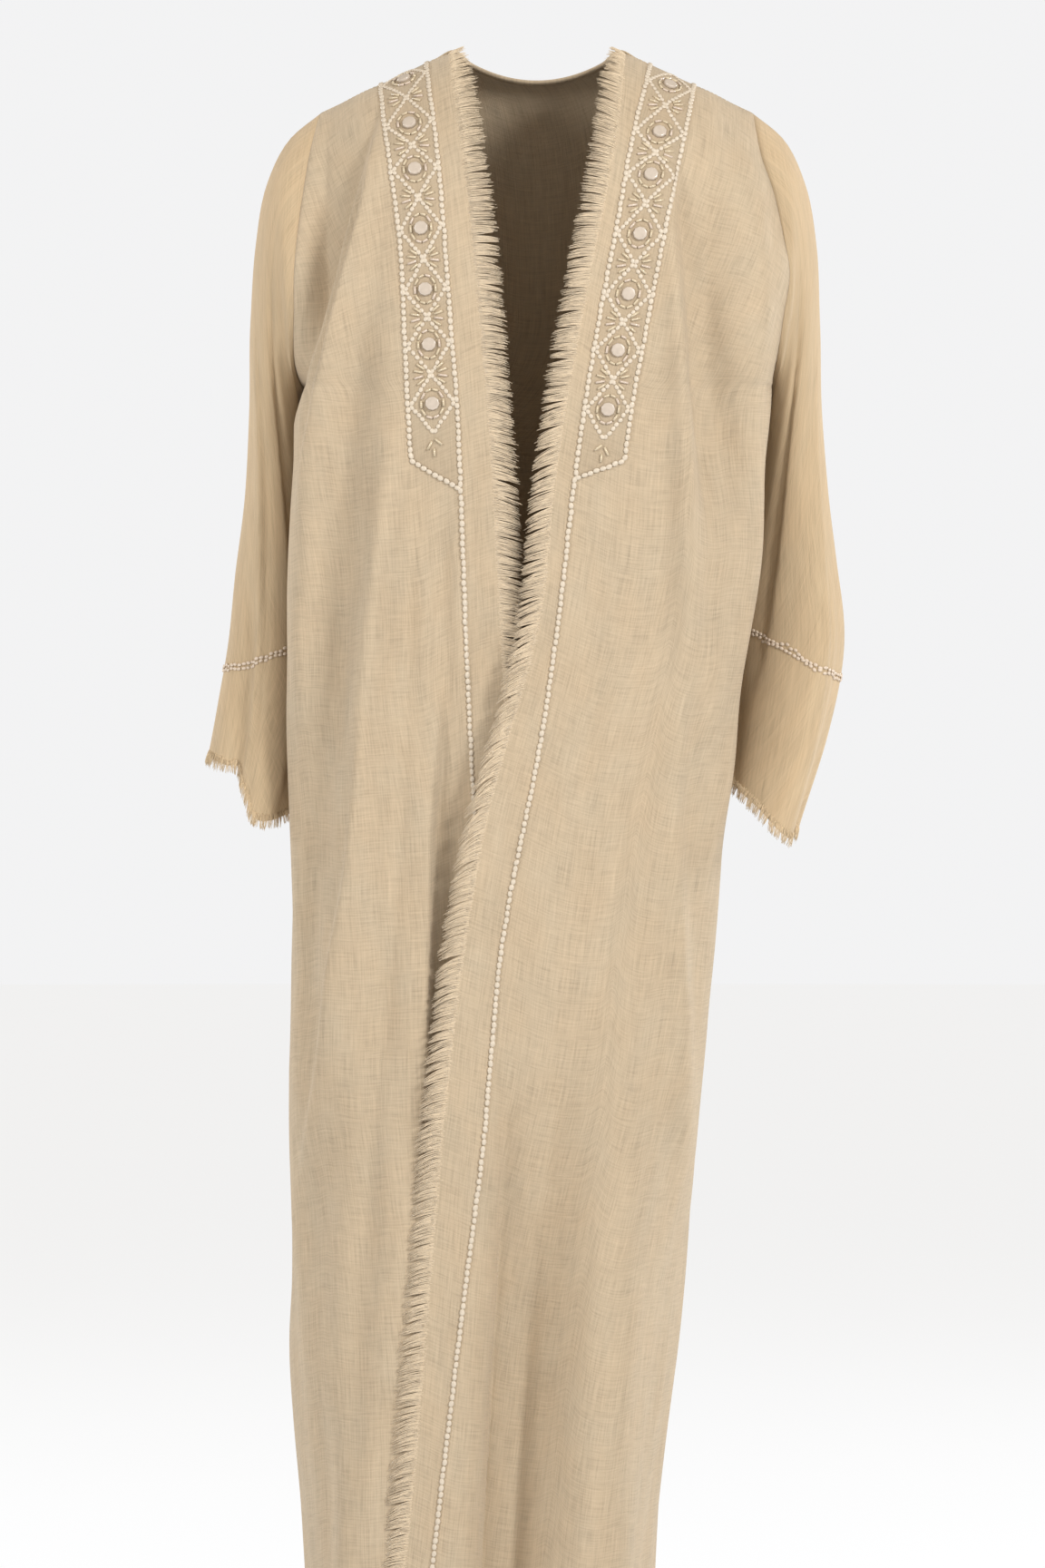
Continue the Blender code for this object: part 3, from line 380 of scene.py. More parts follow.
def front_yoke_point(side, place, share):
    """A point of a front between the shoulder seam, at share 0, and the chest, at share 1."""
    sign = SIDE_SIGN[side]

    def across(z):
        lines = [GUIDE[name + side](z) for name in ("edge_", "bead_", "panel_")]
        lines.append(sign * ARMHOLE["front_" + side](z))
        k = min(int(place), 2)
        return lines[k] + (lines[k + 1] - lines[k]) * (place - k)

    x = across(-SHOULDER_DROP / 2)
    for _ in range(4):
        x = across(shoulder_z(x))
    chest = front_hang_point(side, place, ARMHOLE_ROWS[0])
    y, z = yoke_path((x, 0.0, shoulder_z(x)), chest, share)
    x = across(z)
    if place > 2:
        x += (chest[0] - across(CHEST_Z)) * share
    return np.array([x, y, z])


def front_grid(side):
    rows = [[front_yoke_point(side, place, k / YOKE_STEPS) for place in FRONT_COLUMNS] for k in range(YOKE_STEPS)]
    rows += [[front_hang_point(side, place, row) for place in FRONT_COLUMNS] for row in hang_rows()]
    return np.array(rows)


def back_hang_point(place, row):
    """A point of the back below the chest. Place runs from -1 at the wearer's right to 1 at the left."""
    z_middle, z_side, turned = row
    level = ring(z_middle + (z_side - z_middle) * smooth(abs(place)))
    start, end = (side_length(level, side, False, turned) for side in ("r", "l"))
    return level.at(start + (end - start) * (place + 1) / 2)


def back_grid():
    places = np.linspace(-1, 1, BACK_STEPS + 1)
    rows = []
    for k in range(YOKE_STEPS):
        share = k / YOKE_STEPS
        row = []
        for place in places:
            size, sign = abs(place), math.copysign(1.0, place)
            chest = back_hang_point(place, ARMHOLE_ROWS[0])
            if size < NECK_SHARE:
                x = NECK_X * size / NECK_SHARE
                dip = 1 - (x / NECK_X) ** 2
                top = (sign * x, BACK_NECK_Y * math.sqrt(dip), -BACK_NECK_DROP * dip)
            else:
                x = NECK_X + (SHOULDER_X - NECK_X) * (size - NECK_SHARE) / (1 - NECK_SHARE)
                top = (sign * x, 0.0, shoulder_z(x))
            y, z = yoke_path(top, chest, share)
            row.append((top[0] + (chest[0] - top[0]) * smooth(share), y, z))
        rows.append(row)
    rows += [[back_hang_point(place, row) for place in places] for row in hang_rows()]
    return np.array(rows)


def grid_normals(grid, closed=False):
    """Unit normals of a grid of points, facing out of the garment."""
    if closed:
        across = np.roll(grid, -1, axis=1) - np.roll(grid, 1, axis=1)
    else:
        across = np.gradient(grid, axis=1)
    down = np.gradient(grid, axis=0)
    normals = np.cross(across, down)
    return normals / np.linalg.norm(normals, axis=2, keepdims=True)


def outward(normals, grid, middle):
    """The same normals, turned to face away from a middle line."""
    facing = ((grid - middle) * normals).sum()
    return normals if facing > 0 else -normals


def sleeve_grid(side, armhole):
    """Rings down a sleeve. The first is the armhole itself; the next few keep some of its shape."""
    sign = SIDE_SIGN[side]
    half = len(armhole) // 2
    steps = np.linalg.norm(np.diff(np.vstack([armhole, armhole[:1]]), axis=0), axis=1)
    front, back = np.cumsum(steps[:half]), np.cumsum(steps[half:])
    angles = np.concatenate([[0], front / front[-1] * 180, 180 + back / back[-1] * 180])[:-1]
    swell = curve_through([row[0] for row in CUFFS[side]], [row[1] for row in CUFFS[side]])
    drop = curve_through([row[0] for row in CUFFS[side]], [row[2] for row in CUFFS[side]])
    rings = []
    for row in SLEEVES[side]:
        v = dict(zip(SLEEVE_COLUMNS, row))
        outer = np.array([sign * v["outer_x"], v["outer_y"], v["outer_z"]])
        inner = np.array([sign * v["inner_x"], v["inner_y"], v["inner_z"]])
        centre, arm = (outer + inner) / 2, (outer - inner) / 2
        points = []
        for angle in angles:
            turn = math.radians(angle)
            reach = v["half_front"] if angle <= 180 else v["half_back"]
            size = 1 + (swell(angle) - 1) * v["crease"]
            offset = (arm * math.cos(turn) + np.array([0, -reach * math.sin(turn), 0])) * size
            points.append(centre + offset - np.array([0, 0, drop(angle)]) * max(0.0, 2.5 * v["crease"] - 1.5))
        rings.append(points)
    rings = np.array(rings)
    shape = armhole - rings[0]
    for k, hold in enumerate(ARMHOLE_HOLD):
        rings[k] += shape * hold
    return rings


# Smaller creases, read as the large folds are. Where the side is 1 or -1 the crease is gentle on that side of its
# line and steep on the other. So is a pleat, which is level beside its line before it slopes away.
CREASES = (
    ("front_right", "ridge", 1, 0.014, (
        (-0.080, -0.135, 0.000), (-0.130, -0.143, 0.005), (-0.215, -0.164, 0.008), (-0.300, -0.184, 0.006),
        (-0.360, -0.196, 0.003), (-0.420, -0.203, 0.000),
    )),
    ("front_right", "ridge", 0, 0.020, (
        (-0.120, -0.136, 0.000), (-0.169, -0.141, -0.004), (-0.236, -0.145, -0.008), (-0.311, -0.157, -0.010),
        (-0.394, -0.165, -0.011), (-0.499, -0.168, -0.011), (-0.574, -0.171, -0.009), (-0.649, -0.180, -0.006),
        (-0.760, -0.186, -0.004), (-0.860, -0.190, 0.000),
    )),
    ("front_right", "ridge", 0, 0.013, (
        (-0.320, -0.118, 0.000), (-0.394, -0.125, 0.008), (-0.469, -0.134, 0.011), (-0.544, -0.141, 0.011),
        (-0.619, -0.146, 0.006), (-0.700, -0.154, 0.000),
    )),
    ("front_right", "ridge", 1, 0.022, (
        (-0.560, -0.141, 0.000), (-0.619, -0.145, 0.005), (-0.686, -0.151, 0.008), (-0.761, -0.163, 0.009),
        (-0.836, -0.172, 0.008), (-0.911, -0.183, 0.005), (-0.980, -0.192, 0.000),
    )),
    ("front_right", "ridge", 0, 0.011, (
        (-0.280, -0.096, 0.000), (-0.420, -0.106, -0.004), (-0.560, -0.112, -0.004), (-0.700, -0.118, -0.005),
        (-0.900, -0.136, -0.004), (-1.050, -0.144, 0.000),
    )),
    ("front_right", "ridge", 0, 0.009, (
        (-0.360, -0.080, 0.000), (-0.450, -0.079, -0.005), (-0.560, -0.078, -0.004), (-0.640, -0.078, 0.000),
    )),
    ("front_right", "ridge", 1, 0.030, (
        (-0.520, -0.072, 0.000), (-0.574, -0.0760, -0.008), (-0.649, -0.0835, -0.016), (-0.724, -0.0865, -0.019),
        (-0.800, -0.0880, -0.018), (-0.874, -0.0910, -0.014), (-0.925, -0.0940, -0.009), (-0.990, -0.0980, 0.000),
    )),
    ("front_right", "ridge", 0, 0.012, (
        (-0.880, -0.150, 0.000), (-0.949, -0.155, 0.003), (-1.024, -0.160, 0.005), (-1.174, -0.158, 0.005),
        (-1.250, -0.155, 0.005), (-1.430, -0.150, 0.005),
    )),
    ("front_right", "ridge", 0, 0.009, (
        (-0.600, -0.196, 0.000), (-0.700, -0.197, 0.005), (-0.850, -0.195, 0.007), (-1.000, -0.194, 0.006),
        (-1.120, -0.192, 0.000),
    )),
    ("front_right", "ridge", 0, 0.016, (
        (-0.950, -0.180, 0.000), (-1.060, -0.184, 0.005), (-1.250, -0.180, 0.006), (-1.430, -0.172, 0.006),
    )),
    ("front_left", "ridge", 0, 0.010, (
        (-0.170, 0.113, 0.000), (-0.200, 0.115, 0.003), (-0.274, 0.118, 0.007), (-0.349, 0.121, 0.008),
        (-0.424, 0.122, 0.008), (-0.500, 0.122, 0.007), (-0.580, 0.116, 0.007), (-0.660, 0.112, 0.008),
        (-0.720, 0.113, 0.009), (-0.780, 0.116, 0.010), (-0.840, 0.119, 0.009), (-0.911, 0.122, 0.006),
        (-0.980, 0.124, 0.000),
    )),
    ("front_left", "pleat", 1, 0.046, (
        (-0.080, 0.118, 0.000), (-0.124, 0.121, -0.010), (-0.199, 0.126, -0.018), (-0.274, 0.131, -0.020),
        (-0.330, 0.136, -0.016), (-0.380, 0.141, -0.008), (-0.430, 0.146, 0.000),
    )),
    ("front_left", "ridge", 0, 0.010, (
        (-0.100, 0.176, 0.000), (-0.170, 0.186, 0.004), (-0.240, 0.186, 0.004), (-0.300, 0.184, 0.000),
    )),
    ("front_left", "ridge", 0, 0.012, (
        (-0.430, 0.052, 0.000), (-0.540, 0.046, -0.004), (-0.680, 0.040, -0.003), (-0.790, 0.038, 0.000),
    )),
    ("front_left", "ridge", 0, 0.010, (
        (-0.540, 0.090, 0.000), (-0.640, 0.084, -0.004), (-0.780, 0.086, -0.004), (-0.900, 0.088, 0.000),
    )),
    ("both_fronts", "pleat", 1, 0.078, (
        (-0.780, -0.014, 0.000), (-0.874, -0.0220, -0.012), (-0.949, -0.0285, -0.027), (-1.024, -0.0335, -0.040),
        (-1.100, -0.0385, -0.050), (-1.175, -0.0425, -0.055), (-1.250, -0.0465, -0.057), (-1.430, -0.0535, -0.057),
    )),
    ("front_right", "ridge", 0, 0.020, (
        (-0.900, -0.100, 0.000), (-0.980, -0.114, 0.005), (-1.100, -0.126, 0.010), (-1.250, -0.144, 0.011),
        (-1.430, -0.162, 0.011),
    )),
    ("both_fronts", "ridge", 0, 0.022, (
        (-0.800, 0.078, 0.000), (-0.950, 0.070, 0.006), (-1.150, 0.062, 0.012), (-1.430, 0.054, 0.014),
    )),
    ("back", "ridge", 0, 0.010, ((-0.10, -0.082, 0.0), (-0.24, -0.088, -0.004), (-0.42, -0.086, 0.0))),
    ("back", "ridge", 0, 0.010, ((-0.12, 0.078, 0.0), (-0.26, 0.084, -0.004), (-0.44, 0.082, 0.0))),
    ("back", "ridge", 1, 0.014, ((-0.52, -0.044, 0.0), (-0.90, -0.052, 0.005), (-1.43, -0.062, 0.005))),
    ("back", "ridge", -1, 0.014, ((-0.60, 0.030, 0.0), (-0.98, 0.020, -0.005), (-1.43, 0.010, -0.005))),
    ("back", "ridge", 1, 0.012, ((-0.40, 0.128, 0.0), (-0.70, 0.112, 0.005), (-1.43, 0.086, 0.005))),
)
STEEP = 0.15
PLEAT_LEVEL, PLEAT_SLOPE = 0.40, 0.68

# Folds whose edge laps over the hollow beside it: the edge's line, and how far it reaches over to the left side
LAPS = (
    ("both_fronts", 0.009, (
        (-0.860, -0.031, 0.000), (-0.949, -0.0385, 0.005), (-1.024, -0.0435, 0.007), (-1.100, -0.0485, 0.008),
        (-1.250, -0.0565, 0.008), (-1.430, -0.0635, 0.008),
    )),
    ("front_right", 0.007, (
        (-0.540, -0.082, 0.000), (-0.649, -0.0935, 0.004), (-0.724, -0.0965, 0.005), (-0.874, -0.1000, 0.005),
        (-0.980, -0.1060, 0.000),
    )),
)

# Creases of the sleeves, as width, side and rows of (distance down the sleeve, angle round it, depth)
SLEEVE_CREASES = {
    "r": (
        (0.016, 1, ((0.04, 60, 0.0), (0.12, 78, -0.004), (0.24, 96, -0.004), (0.34, 112, 0.0))),
        (0.014, -1, ((0.14, 40, 0.0), (0.26, 52, 0.004), (0.38, 60, 0.005), (0.50, 66, 0.004), (0.60, 70, 0.0))),
        (0.012, 1, ((0.20, 140, 0.0), (0.30, 128, -0.004), (0.42, 118, -0.004), (0.56, 110, 0.0))),
        (0.016, 1, ((0.05, 230, 0.0), (0.18, 250, -0.004), (0.34, 270, -0.004), (0.50, 285, 0.0))),
        (0.014, -1, ((0.16, 310, 0.0), (0.30, 300, 0.004), (0.44, 296, 0.003), (0.58, 290, 0.0))),
    ),
    "l": (
        (0.016, 1, ((0.04, 66, 0.0), (0.13, 80, -0.004), (0.25, 98, -0.004), (0.35, 110, 0.0))),
        (0.013, 1, ((0.16, 30, 0.0), (0.28, 36, 0.004), (0.40, 40, 0.004), (0.52, 40, 0.003), (0.60, 42, 0.0))),
        (0.012, -1, ((0.24, 146, 0.0), (0.34, 130, -0.004), (0.46, 118, -0.005), (0.60, 108, 0.0))),
        (0.016, -1, ((0.05, 236, 0.0), (0.20, 252, -0.004), (0.36, 268, -0.004), (0.50, 280, 0.0))),
        (0.014, 1, ((0.18, 306, 0.0), (0.32, 300, 0.004), (0.46, 292, 0.003), (0.58, 288, 0.0))),
    ),
}

ROW_PARTS = (6,) * YOKE_STEPS + (4,) * (len(ARMHOLE_ROWS) - 1) + (8,) * HANG_STEPS
ROW_LENGTHS = (0.045,) * YOKE_STEPS + (0.025,) * (len(ARMHOLE_ROWS) - 1) + (0.065,) * HANG_STEPS
ROW_PLACES = np.concatenate([[0], np.cumsum(ROW_LENGTHS)])
UNDER_ROW = YOKE_STEPS + len(ARMHOLE_ROWS) - 1
FRONT_WIDTHS = (0.0, 0.028, 0.068, 0.200)
CLOTH_WALL = 0.0012

# A point inside the cloak, which the outsides of its panels face away from
MIDDLE = np.array([0.0, 0.0, -0.5])


def between_places(places, parts):
    """Each interval of the places divided into its own number of parts."""
    out = [np.linspace(a, b, n, endpoint=False) for a, b, n in zip(places, places[1:], parts)]
    return np.concatenate(out + [[places[-1]]])


FINE_ROWS = between_places(ROW_PLACES, ROW_PARTS)
FINE_UNDER = sum(ROW_PARTS[:UNDER_ROW])
FRONT_PARTS = (12, 16, 72)
FRONT_PLACES = between_places((0.0, 1.0, 2.0, 3.0), FRONT_PARTS)
BACK_PLACES = np.linspace(-1, 1, 145)


def refined(grid, row_places, fine_rows, column_places, fine_columns):
    """A grid of points on a finer grid, on smooth curves both ways."""
    tall = curve_through(row_places, grid)(fine_rows)
    return curve_through(column_places, tall.swapaxes(0, 1))(fine_columns).swapaxes(0, 1)


def pleat(offset, width, side):
    """A fold 1 high at its line, level beside it on the named side, and steep on the other."""
    away = side * offset / width
    return np.where(away < 0, np.exp(-((away / STEEP) ** 2)), 1 - smooth((away - PLEAT_LEVEL) / PLEAT_SLOPE))


def bulge(offset, width, side):
    """A round crest 1 high, gentle on the named side of its line and steep on the other."""
    span = np.where(side * offset < 0, width * STEEP, width)
    return np.exp(-((offset / span) ** 2))


def along_rows(rows, at):
    """A table's second and third columns as smooth functions of the size of its first, at these places."""
    places = [abs(row[0]) for row in rows]
    return [curve_through(places, [row[k] for row in rows])(at) for k in (1, 2)]


def covers(panel, name):
    """Whether a fold's row is for this panel."""
    return panel == name or (panel == "both_fronts" and name.startswith("front"))


def fold_depths(name, x, z):
    """How far the folds and creases move the cloth of one panel at each of these places."""
    total = np.zeros_like(x)
    for panel, kind, side, width, rows in FOLDS + CREASES:
        if not covers(panel, name):
            continue
        line, depth = along_rows(rows, -z)
        if kind == "ridge":
            total += depth * bulge(x - line, width, side)
        elif kind == "pleat":
            total += depth * pleat(x - line, width, side)
        else:
            total += depth * smooth(side * (x - line) / width)
    return total


def laps(name, x, z):
    """How far sideways the folds' lapping edges move the cloth of one panel at each of these places."""
    total = np.zeros_like(x)
    for panel, width, rows in LAPS:
        if covers(panel, name):
            line, reach = along_rows(rows, -z)
            total += reach * bulge(x - line, width, 0)
    return total


def surface_lengths(grid, axis):
    """Distance along the cloth from the grid's first line, as a pattern on the cloth needs it."""
    steps = np.linalg.norm(np.diff(grid, axis=axis), axis=2)
    zero = np.zeros_like(np.take(steps, [0], axis=axis))
    return np.concatenate([zero, np.cumsum(steps, axis=axis)], axis=axis)


class Panel:
    """One piece of cloth: its grid of points, their normals and its measure along and across."""

    def __init__(self, grid, middle, closed=False):
        self.grid = grid
        self.closed = closed
        self.normals = outward(grid_normals(grid, closed), grid, middle)
        self.across = surface_lengths(grid, 1)
        self.down = surface_lengths(grid, 0)


def gentle(across, down, seed, size):
    """Slow unevenness that all hanging cloth has."""
    waves = np.zeros_like(across)
    own = np.random.default_rng(seed)
    for _ in range(9):
        wide, tall = own.uniform(0.024, 0.10), own.uniform(0.14, 0.6)
        waves += np.sin(across * 2 * math.pi / wide + down * 2 * math.pi / tall + own.uniform(0, 6.3))
    return waves / 9 * size


def front_panel(side):
    name = "front_right" if side == "r" else "front_left"
    widths = np.interp(FRONT_COLUMNS, (0, 1, 2, 3), FRONT_WIDTHS)
    fine = np.interp(FRONT_PLACES, (0, 1, 2, 3), FRONT_WIDTHS)
    grid = refined(front_grid(side), ROW_PLACES, FINE_ROWS, widths, fine)
    base = Panel(grid, MIDDLE)
    fade = smooth((3.0 - FRONT_PLACES) / 0.2)[None, :]
    depth = fold_depths(name, grid[..., 0], grid[..., 2]) + gentle(base.across, base.down, 3, 0.0020)
    push = base.normals.copy()
    push[..., 2] *= 1 - smooth((-grid[..., 2] - 0.35) / 0.25)
    push /= np.linalg.norm(push, axis=2, keepdims=True)
    moved = grid + push * (depth * fade)[..., None]
    moved[..., 0] += laps(name, grid[..., 0], grid[..., 2]) * fade
    return Panel(moved, MIDDLE)


def back_panel():
    places = np.linspace(-1, 1, BACK_STEPS + 1)
    grid = refined(back_grid(), ROW_PLACES, FINE_ROWS, places, BACK_PLACES)
    base = Panel(grid, MIDDLE)
    fade = smooth((1.0 - np.abs(BACK_PLACES)) / 0.167)[None, :] * smooth(FINE_ROWS / 0.05)[:, None]
    depth = fold_depths("back", grid[..., 0], grid[..., 2]) + gentle(base.across, base.down, 5, 0.0020)
    return Panel(grid + base.normals * (depth * fade)[..., None], MIDDLE)


def sleeve_panel(side, front, back):
    """A sleeve from the armhole of the two panels to the cuff, as a closed tube."""
    column = 0 if side == "r" else -1
    coarse_front, coarse_back = front_grid(side), back_grid()
    armhole = np.vstack([coarse_front[: UNDER_ROW + 1, -1], coarse_back[1:UNDER_ROW, column][::-1]])
    rings = sleeve_grid(side, armhole)
    half = ROW_PLACES[UNDER_ROW]
    places = np.concatenate([ROW_PLACES[: UNDER_ROW + 1], 2 * half - ROW_PLACES[1:UNDER_ROW][::-1]])
    fine_half = FINE_ROWS[: FINE_UNDER + 1]
    fine = np.concatenate([fine_half, 2 * half - fine_half[1:-1][::-1]])
    wrapped = np.concatenate([places[-2:] - 2 * half, places, places[:2] + 2 * half])
    rings = np.concatenate([rings[:, -2:], rings, rings[:, :2]], axis=1)
    lengths = np.linalg.norm(np.diff(rings, axis=0), axis=2).mean(axis=1)
    down = np.concatenate([[0], np.cumsum(lengths)])
    fine_down = between_places(down, [max(2, round(length / 0.006)) for length in lengths])
    grid = refined(rings, down, fine_down, wrapped, fine)
    border = np.vstack([front.grid[: FINE_UNDER + 1, -1], back.grid[1:FINE_UNDER, column][::-1]])
    hold = smooth(1 - fine_down / 0.06)[:, None, None]
    grid = grid + (border - grid[0])[None] * hold
    centre = grid.mean(axis=1, keepdims=True)
    base = Panel(grid, centre, True)
    turns = base.across / base.across[:, -1:] * 2 * math.pi
    ripple = np.sin(turns * 3 + base.down * 9) * np.sin(base.down * 21 + 1.3) * 0.0014
    around = base.across[:, -1:]
    for width, steep_side, rows in SLEEVE_CREASES[side]:
        angle, depth = along_rows(rows, base.down)
        offset = base.across - angle / 360 * around
        ripple = ripple + depth * bulge(offset, width, steep_side)
    hold = smooth(fine_down / 0.05)[:, None]
    return Panel(grid + base.normals * (ripple * hold)[..., None], centre, True)


class Term:
    """A shader value that Python's own signs work on."""

    def __init__(self, finish, socket):
        self.finish = finish
        self.socket = socket

    def maths(self, operation, *others):
        return self.finish.node("Math", {"operation": operation}, dict(enumerate((self,) + others)))

    def __add__(self, other):
        return self.maths("ADD", other)

    __radd__ = __add__

    def __mul__(self, other):
        return self.maths("MULTIPLY", other)

    __rmul__ = __mul__

    def __sub__(self, other):
        return self.maths("SUBTRACT", other)

    def __truediv__(self, other):
        return self.maths("DIVIDE", other)


class Finish:
    """One material, with a single way to make each of its nodes."""

    def __init__(self, name):
        self.material = bpy.data.materials.new(name)
        self.material.use_nodes = True
        self.tree = self.material.node_tree
        self.shader = self.tree.nodes["Principled BSDF"]

    def node(self, kind, settings=None, inputs=None, output=0):
        made = self.tree.nodes.new("ShaderNode" + kind)
        for key, value in (settings or {}).items():
            if key == "stops":
                ramp = made.color_ramp
                while len(ramp.elements) < len(value):
                    ramp.elements.new(0.5)
                for element, (place, colour) in zip(ramp.elements, value):
                    element.position = place
                    element.color = colour
            else:
                setattr(made, key, value)
        self.fill(made, inputs or {})
        return Term(self, made.outputs[output])

    def fill(self, made, inputs):
        for key, value in inputs.items():
            if isinstance(value, Term):
                self.tree.links.new(value.socket, made.inputs[key])
            else:
                made.inputs[key].default_value = value

    def surface(self, **inputs):
        self.fill(self.shader, {key.replace("_", " "): value for key, value in inputs.items()})
        return self.material

    def mixed(self, share, first, second, blend="MIX"):
        return self.node("Mix", {"data_type": "RGBA", "blend_type": blend}, {0: share, 6: first, 7: second}, 2)

    def flecks(self, scale, detail):
        """Fine noise through the piece, by its own coordinates."""
        place = self.node("TexCoord", None, None, 3)
        return self.node("TexNoise", None, {"Vector": place, "Scale": scale, "Detail": detail})

    def cloth_places(self):
        """Distances across and down the cloth, in metres."""
        uv = self.node("UVMap", {"uv_map": "cloth"})
        across = self.node("SeparateXYZ", None, {0: uv})
        down = Term(self, across.socket.node.outputs[1])
        return across, down

    def streaks(self, across, down, wide, tall, seed, detail=2.0):
        """Noise stretched along one way of the cloth. Wide and tall are its sizes in metres."""
        place = self.node("CombineXYZ", None, {0: across / wide, 1: down / tall, 2: seed})
        return self.node("TexNoise", None, {"Vector": place, "Scale": 1.0, "Detail": detail})


def rgba(colour, share=1.0):
    return (colour[0] * share, colour[1] * share, colour[2] * share, 1.0)


# Linear colours
LINEN = (0.498, 0.400, 0.279)
# Painted light: the sleeves' cloth is a lighter, warmer copy of the same linen, toned for the light the sleeves get
SLEEVE_LINEN_PAINTED_LIGHT = (0.545, 0.415, 0.262)
# Partly the beaded ground's own greyer cloth, partly painted shade: darker than the linen where the beads and bugles
# cast shadows on it
PANEL_LINEN_AND_PAINTED_SHADE = (0.450, 0.361, 0.252)
THREAD = (0.700, 0.573, 0.410)
CUFF_THREAD = (0.660, 0.510, 0.325)
SEED_BEAD = (0.645, 0.560, 0.448)
CUFF_BEAD = (0.660, 0.545, 0.430)
PEARL = (0.560, 0.480, 0.400)
GOLD_BUGLE = (0.640, 0.535, 0.375)
ROSE_BUGLE = (0.655, 0.540, 0.440)
STITCH = (0.560, 0.450, 0.300)
YARN_PITCH = 0.0009
WARM, COOL = (1.015, 0.990, 0.970), (0.990, 1.000, 1.015)


def linen_finish(name, colour, contrast=1.0):
    """A plain weave of uneven yarns: slubs both ways, slow unevenness of tone and hue, and a bump for each yarn."""
    finish = Finish(name)
    across, down = finish.cloth_places()
    warp = finish.streaks(across, down, 0.0011, 0.030, 3.0)
    weft = finish.streaks(across, down, 0.022, 0.0012, 7.0)
    wide_warp = finish.streaks(across, down, 0.0030, 0.070, 11.0, 3.0)
    wide_weft = finish.streaks(across, down, 0.060, 0.0032, 13.0, 3.0)
    band = finish.streaks(across, down, 0.012, 0.300, 15.0)
    patch = finish.streaks(across, down, 0.045, 0.070, 17.0, 3.0)
    hue = finish.streaks(across, down, 0.030, 0.055, 23.0)
    slubs = (warp - 0.5) * 0.80 + (weft - 0.5) * 0.70 + (wide_warp - 0.5) * 0.30 + (wide_weft - 0.5) * 0.20
    slubs = slubs + (band - 0.5) * 0.20 + (patch - 0.5) * 0.22
    base = finish.node(
        "ValToRGB",
        {"stops": ((0.0, rgba(colour, 0.66)), (0.5, rgba(colour)), (1.0, rgba(colour, 1.24)))},
        {0: slubs * contrast + 0.5},
    )
    tint = finish.mixed((hue - 0.5) * 2.0 + 0.5, rgba(WARM), rgba(COOL))
    base = finish.mixed(1.0, base, tint, "MULTIPLY")
    turns = 2 * math.pi / YARN_PITCH
    yarns = (across * turns).maths("SINE") * 0.5 + (down * turns).maths("SINE") * 0.5
    height = yarns * 0.35 + (warp + weft) * 0.9 + (wide_warp + wide_weft) * 0.8
    bump = finish.node("Bump", None, {"Strength": 0.5, "Distance": 0.0005, "Height": height})
    return finish.surface(
        Base_Color=base, Roughness=0.86, Normal=bump, Sheen_Weight=0.25, Sheen_Roughness=0.5,
        Sheen_Tint=rgba((0.9, 0.85, 0.75)), Specular_IOR_Level=0.25,
    )


def thread_finish(name, colour):
    finish = Finish(name)
    base = finish.mixed(finish.flecks(400.0, 2.0), rgba(colour, 0.90), rgba(colour, 1.08))
    return finish.surface(Base_Color=base, Roughness=0.8, Sheen_Weight=0.2, Specular_IOR_Level=0.3)


def bead_finish(name, colour, rough, coat):
    finish = Finish(name)
    fleck = finish.flecks(260.0, 1.0)
    base = finish.mixed(fleck, rgba(colour, 0.86), rgba(colour, 1.08))
    return finish.surface(
        Base_Color=base, Roughness=rough + (fleck - 0.5) * 0.2, Coat_Weight=coat, Coat_Roughness=0.15
    )


def linked(name, data):
    """An object in the scene."""
    made = bpy.data.objects.new(name, data)
    bpy.context.scene.collection.objects.link(made)
    return made


def mesh_from(name, bm):
    """A mesh of what the builder holds, which is then freed."""
    mesh = bpy.data.meshes.new(name)
    bm.to_mesh(mesh)
    bm.free()
    return mesh


def with_points(mesh, points):
    """The same mesh with its points moved there."""
    mesh.vertices.foreach_set("co", points.ravel())
    mesh.update()
    mesh.shade_smooth()
    return mesh


def own_object(name, mesh, finish, slot, *nodes):
    """A piece of the part, with its finish, and the solids that it stands for."""
    made = linked(name, mesh)
    mesh.materials.append(finish)
    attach(made, "root")
    if nodes:
        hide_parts(*nodes)
    return made


def mapped_mesh(name, grid, places, facing=None, closed=False):
    """A smooth mesh over a grid of points, with these places on the cloth as its map."""
    rows, columns = grid.shape[:2]
    bm = bmesh.new()
    bmesh.ops.create_grid(bm, x_segments=columns - 1, y_segments=rows - 1, size=1.0)
    map_layer = bm.loops.layers.uv.new("cloth")
    bm.verts.ensure_lookup_table()
    for vertex, point, place in zip(bm.verts, grid.reshape(-1, 3), places.reshape(-1, 2)):
        vertex.co = point
        for loop in vertex.link_loops:
            loop[map_layer].uv = place
    bm.normal_update()
    if facing is not None:
        middle = bm.verts[(rows // 2) * columns + columns // 3]
        if middle.normal.dot(tuple(facing[rows // 2, columns // 3])) < 0:
            bmesh.ops.reverse_faces(bm, faces=bm.faces)
    if closed:
        bmesh.ops.remove_doubles(bm, verts=bm.verts, dist=1e-6)
    mesh = mesh_from(name, bm)
    mesh.shade_smooth()
    return mesh


def thicken(made, thickness, offset):
    """Give a sheet its wall."""
    thick = made.modifiers.new("wall", "SOLIDIFY")
    thick.thickness = thickness
    thick.offset = offset
    thick.use_even_offset = False
    return made


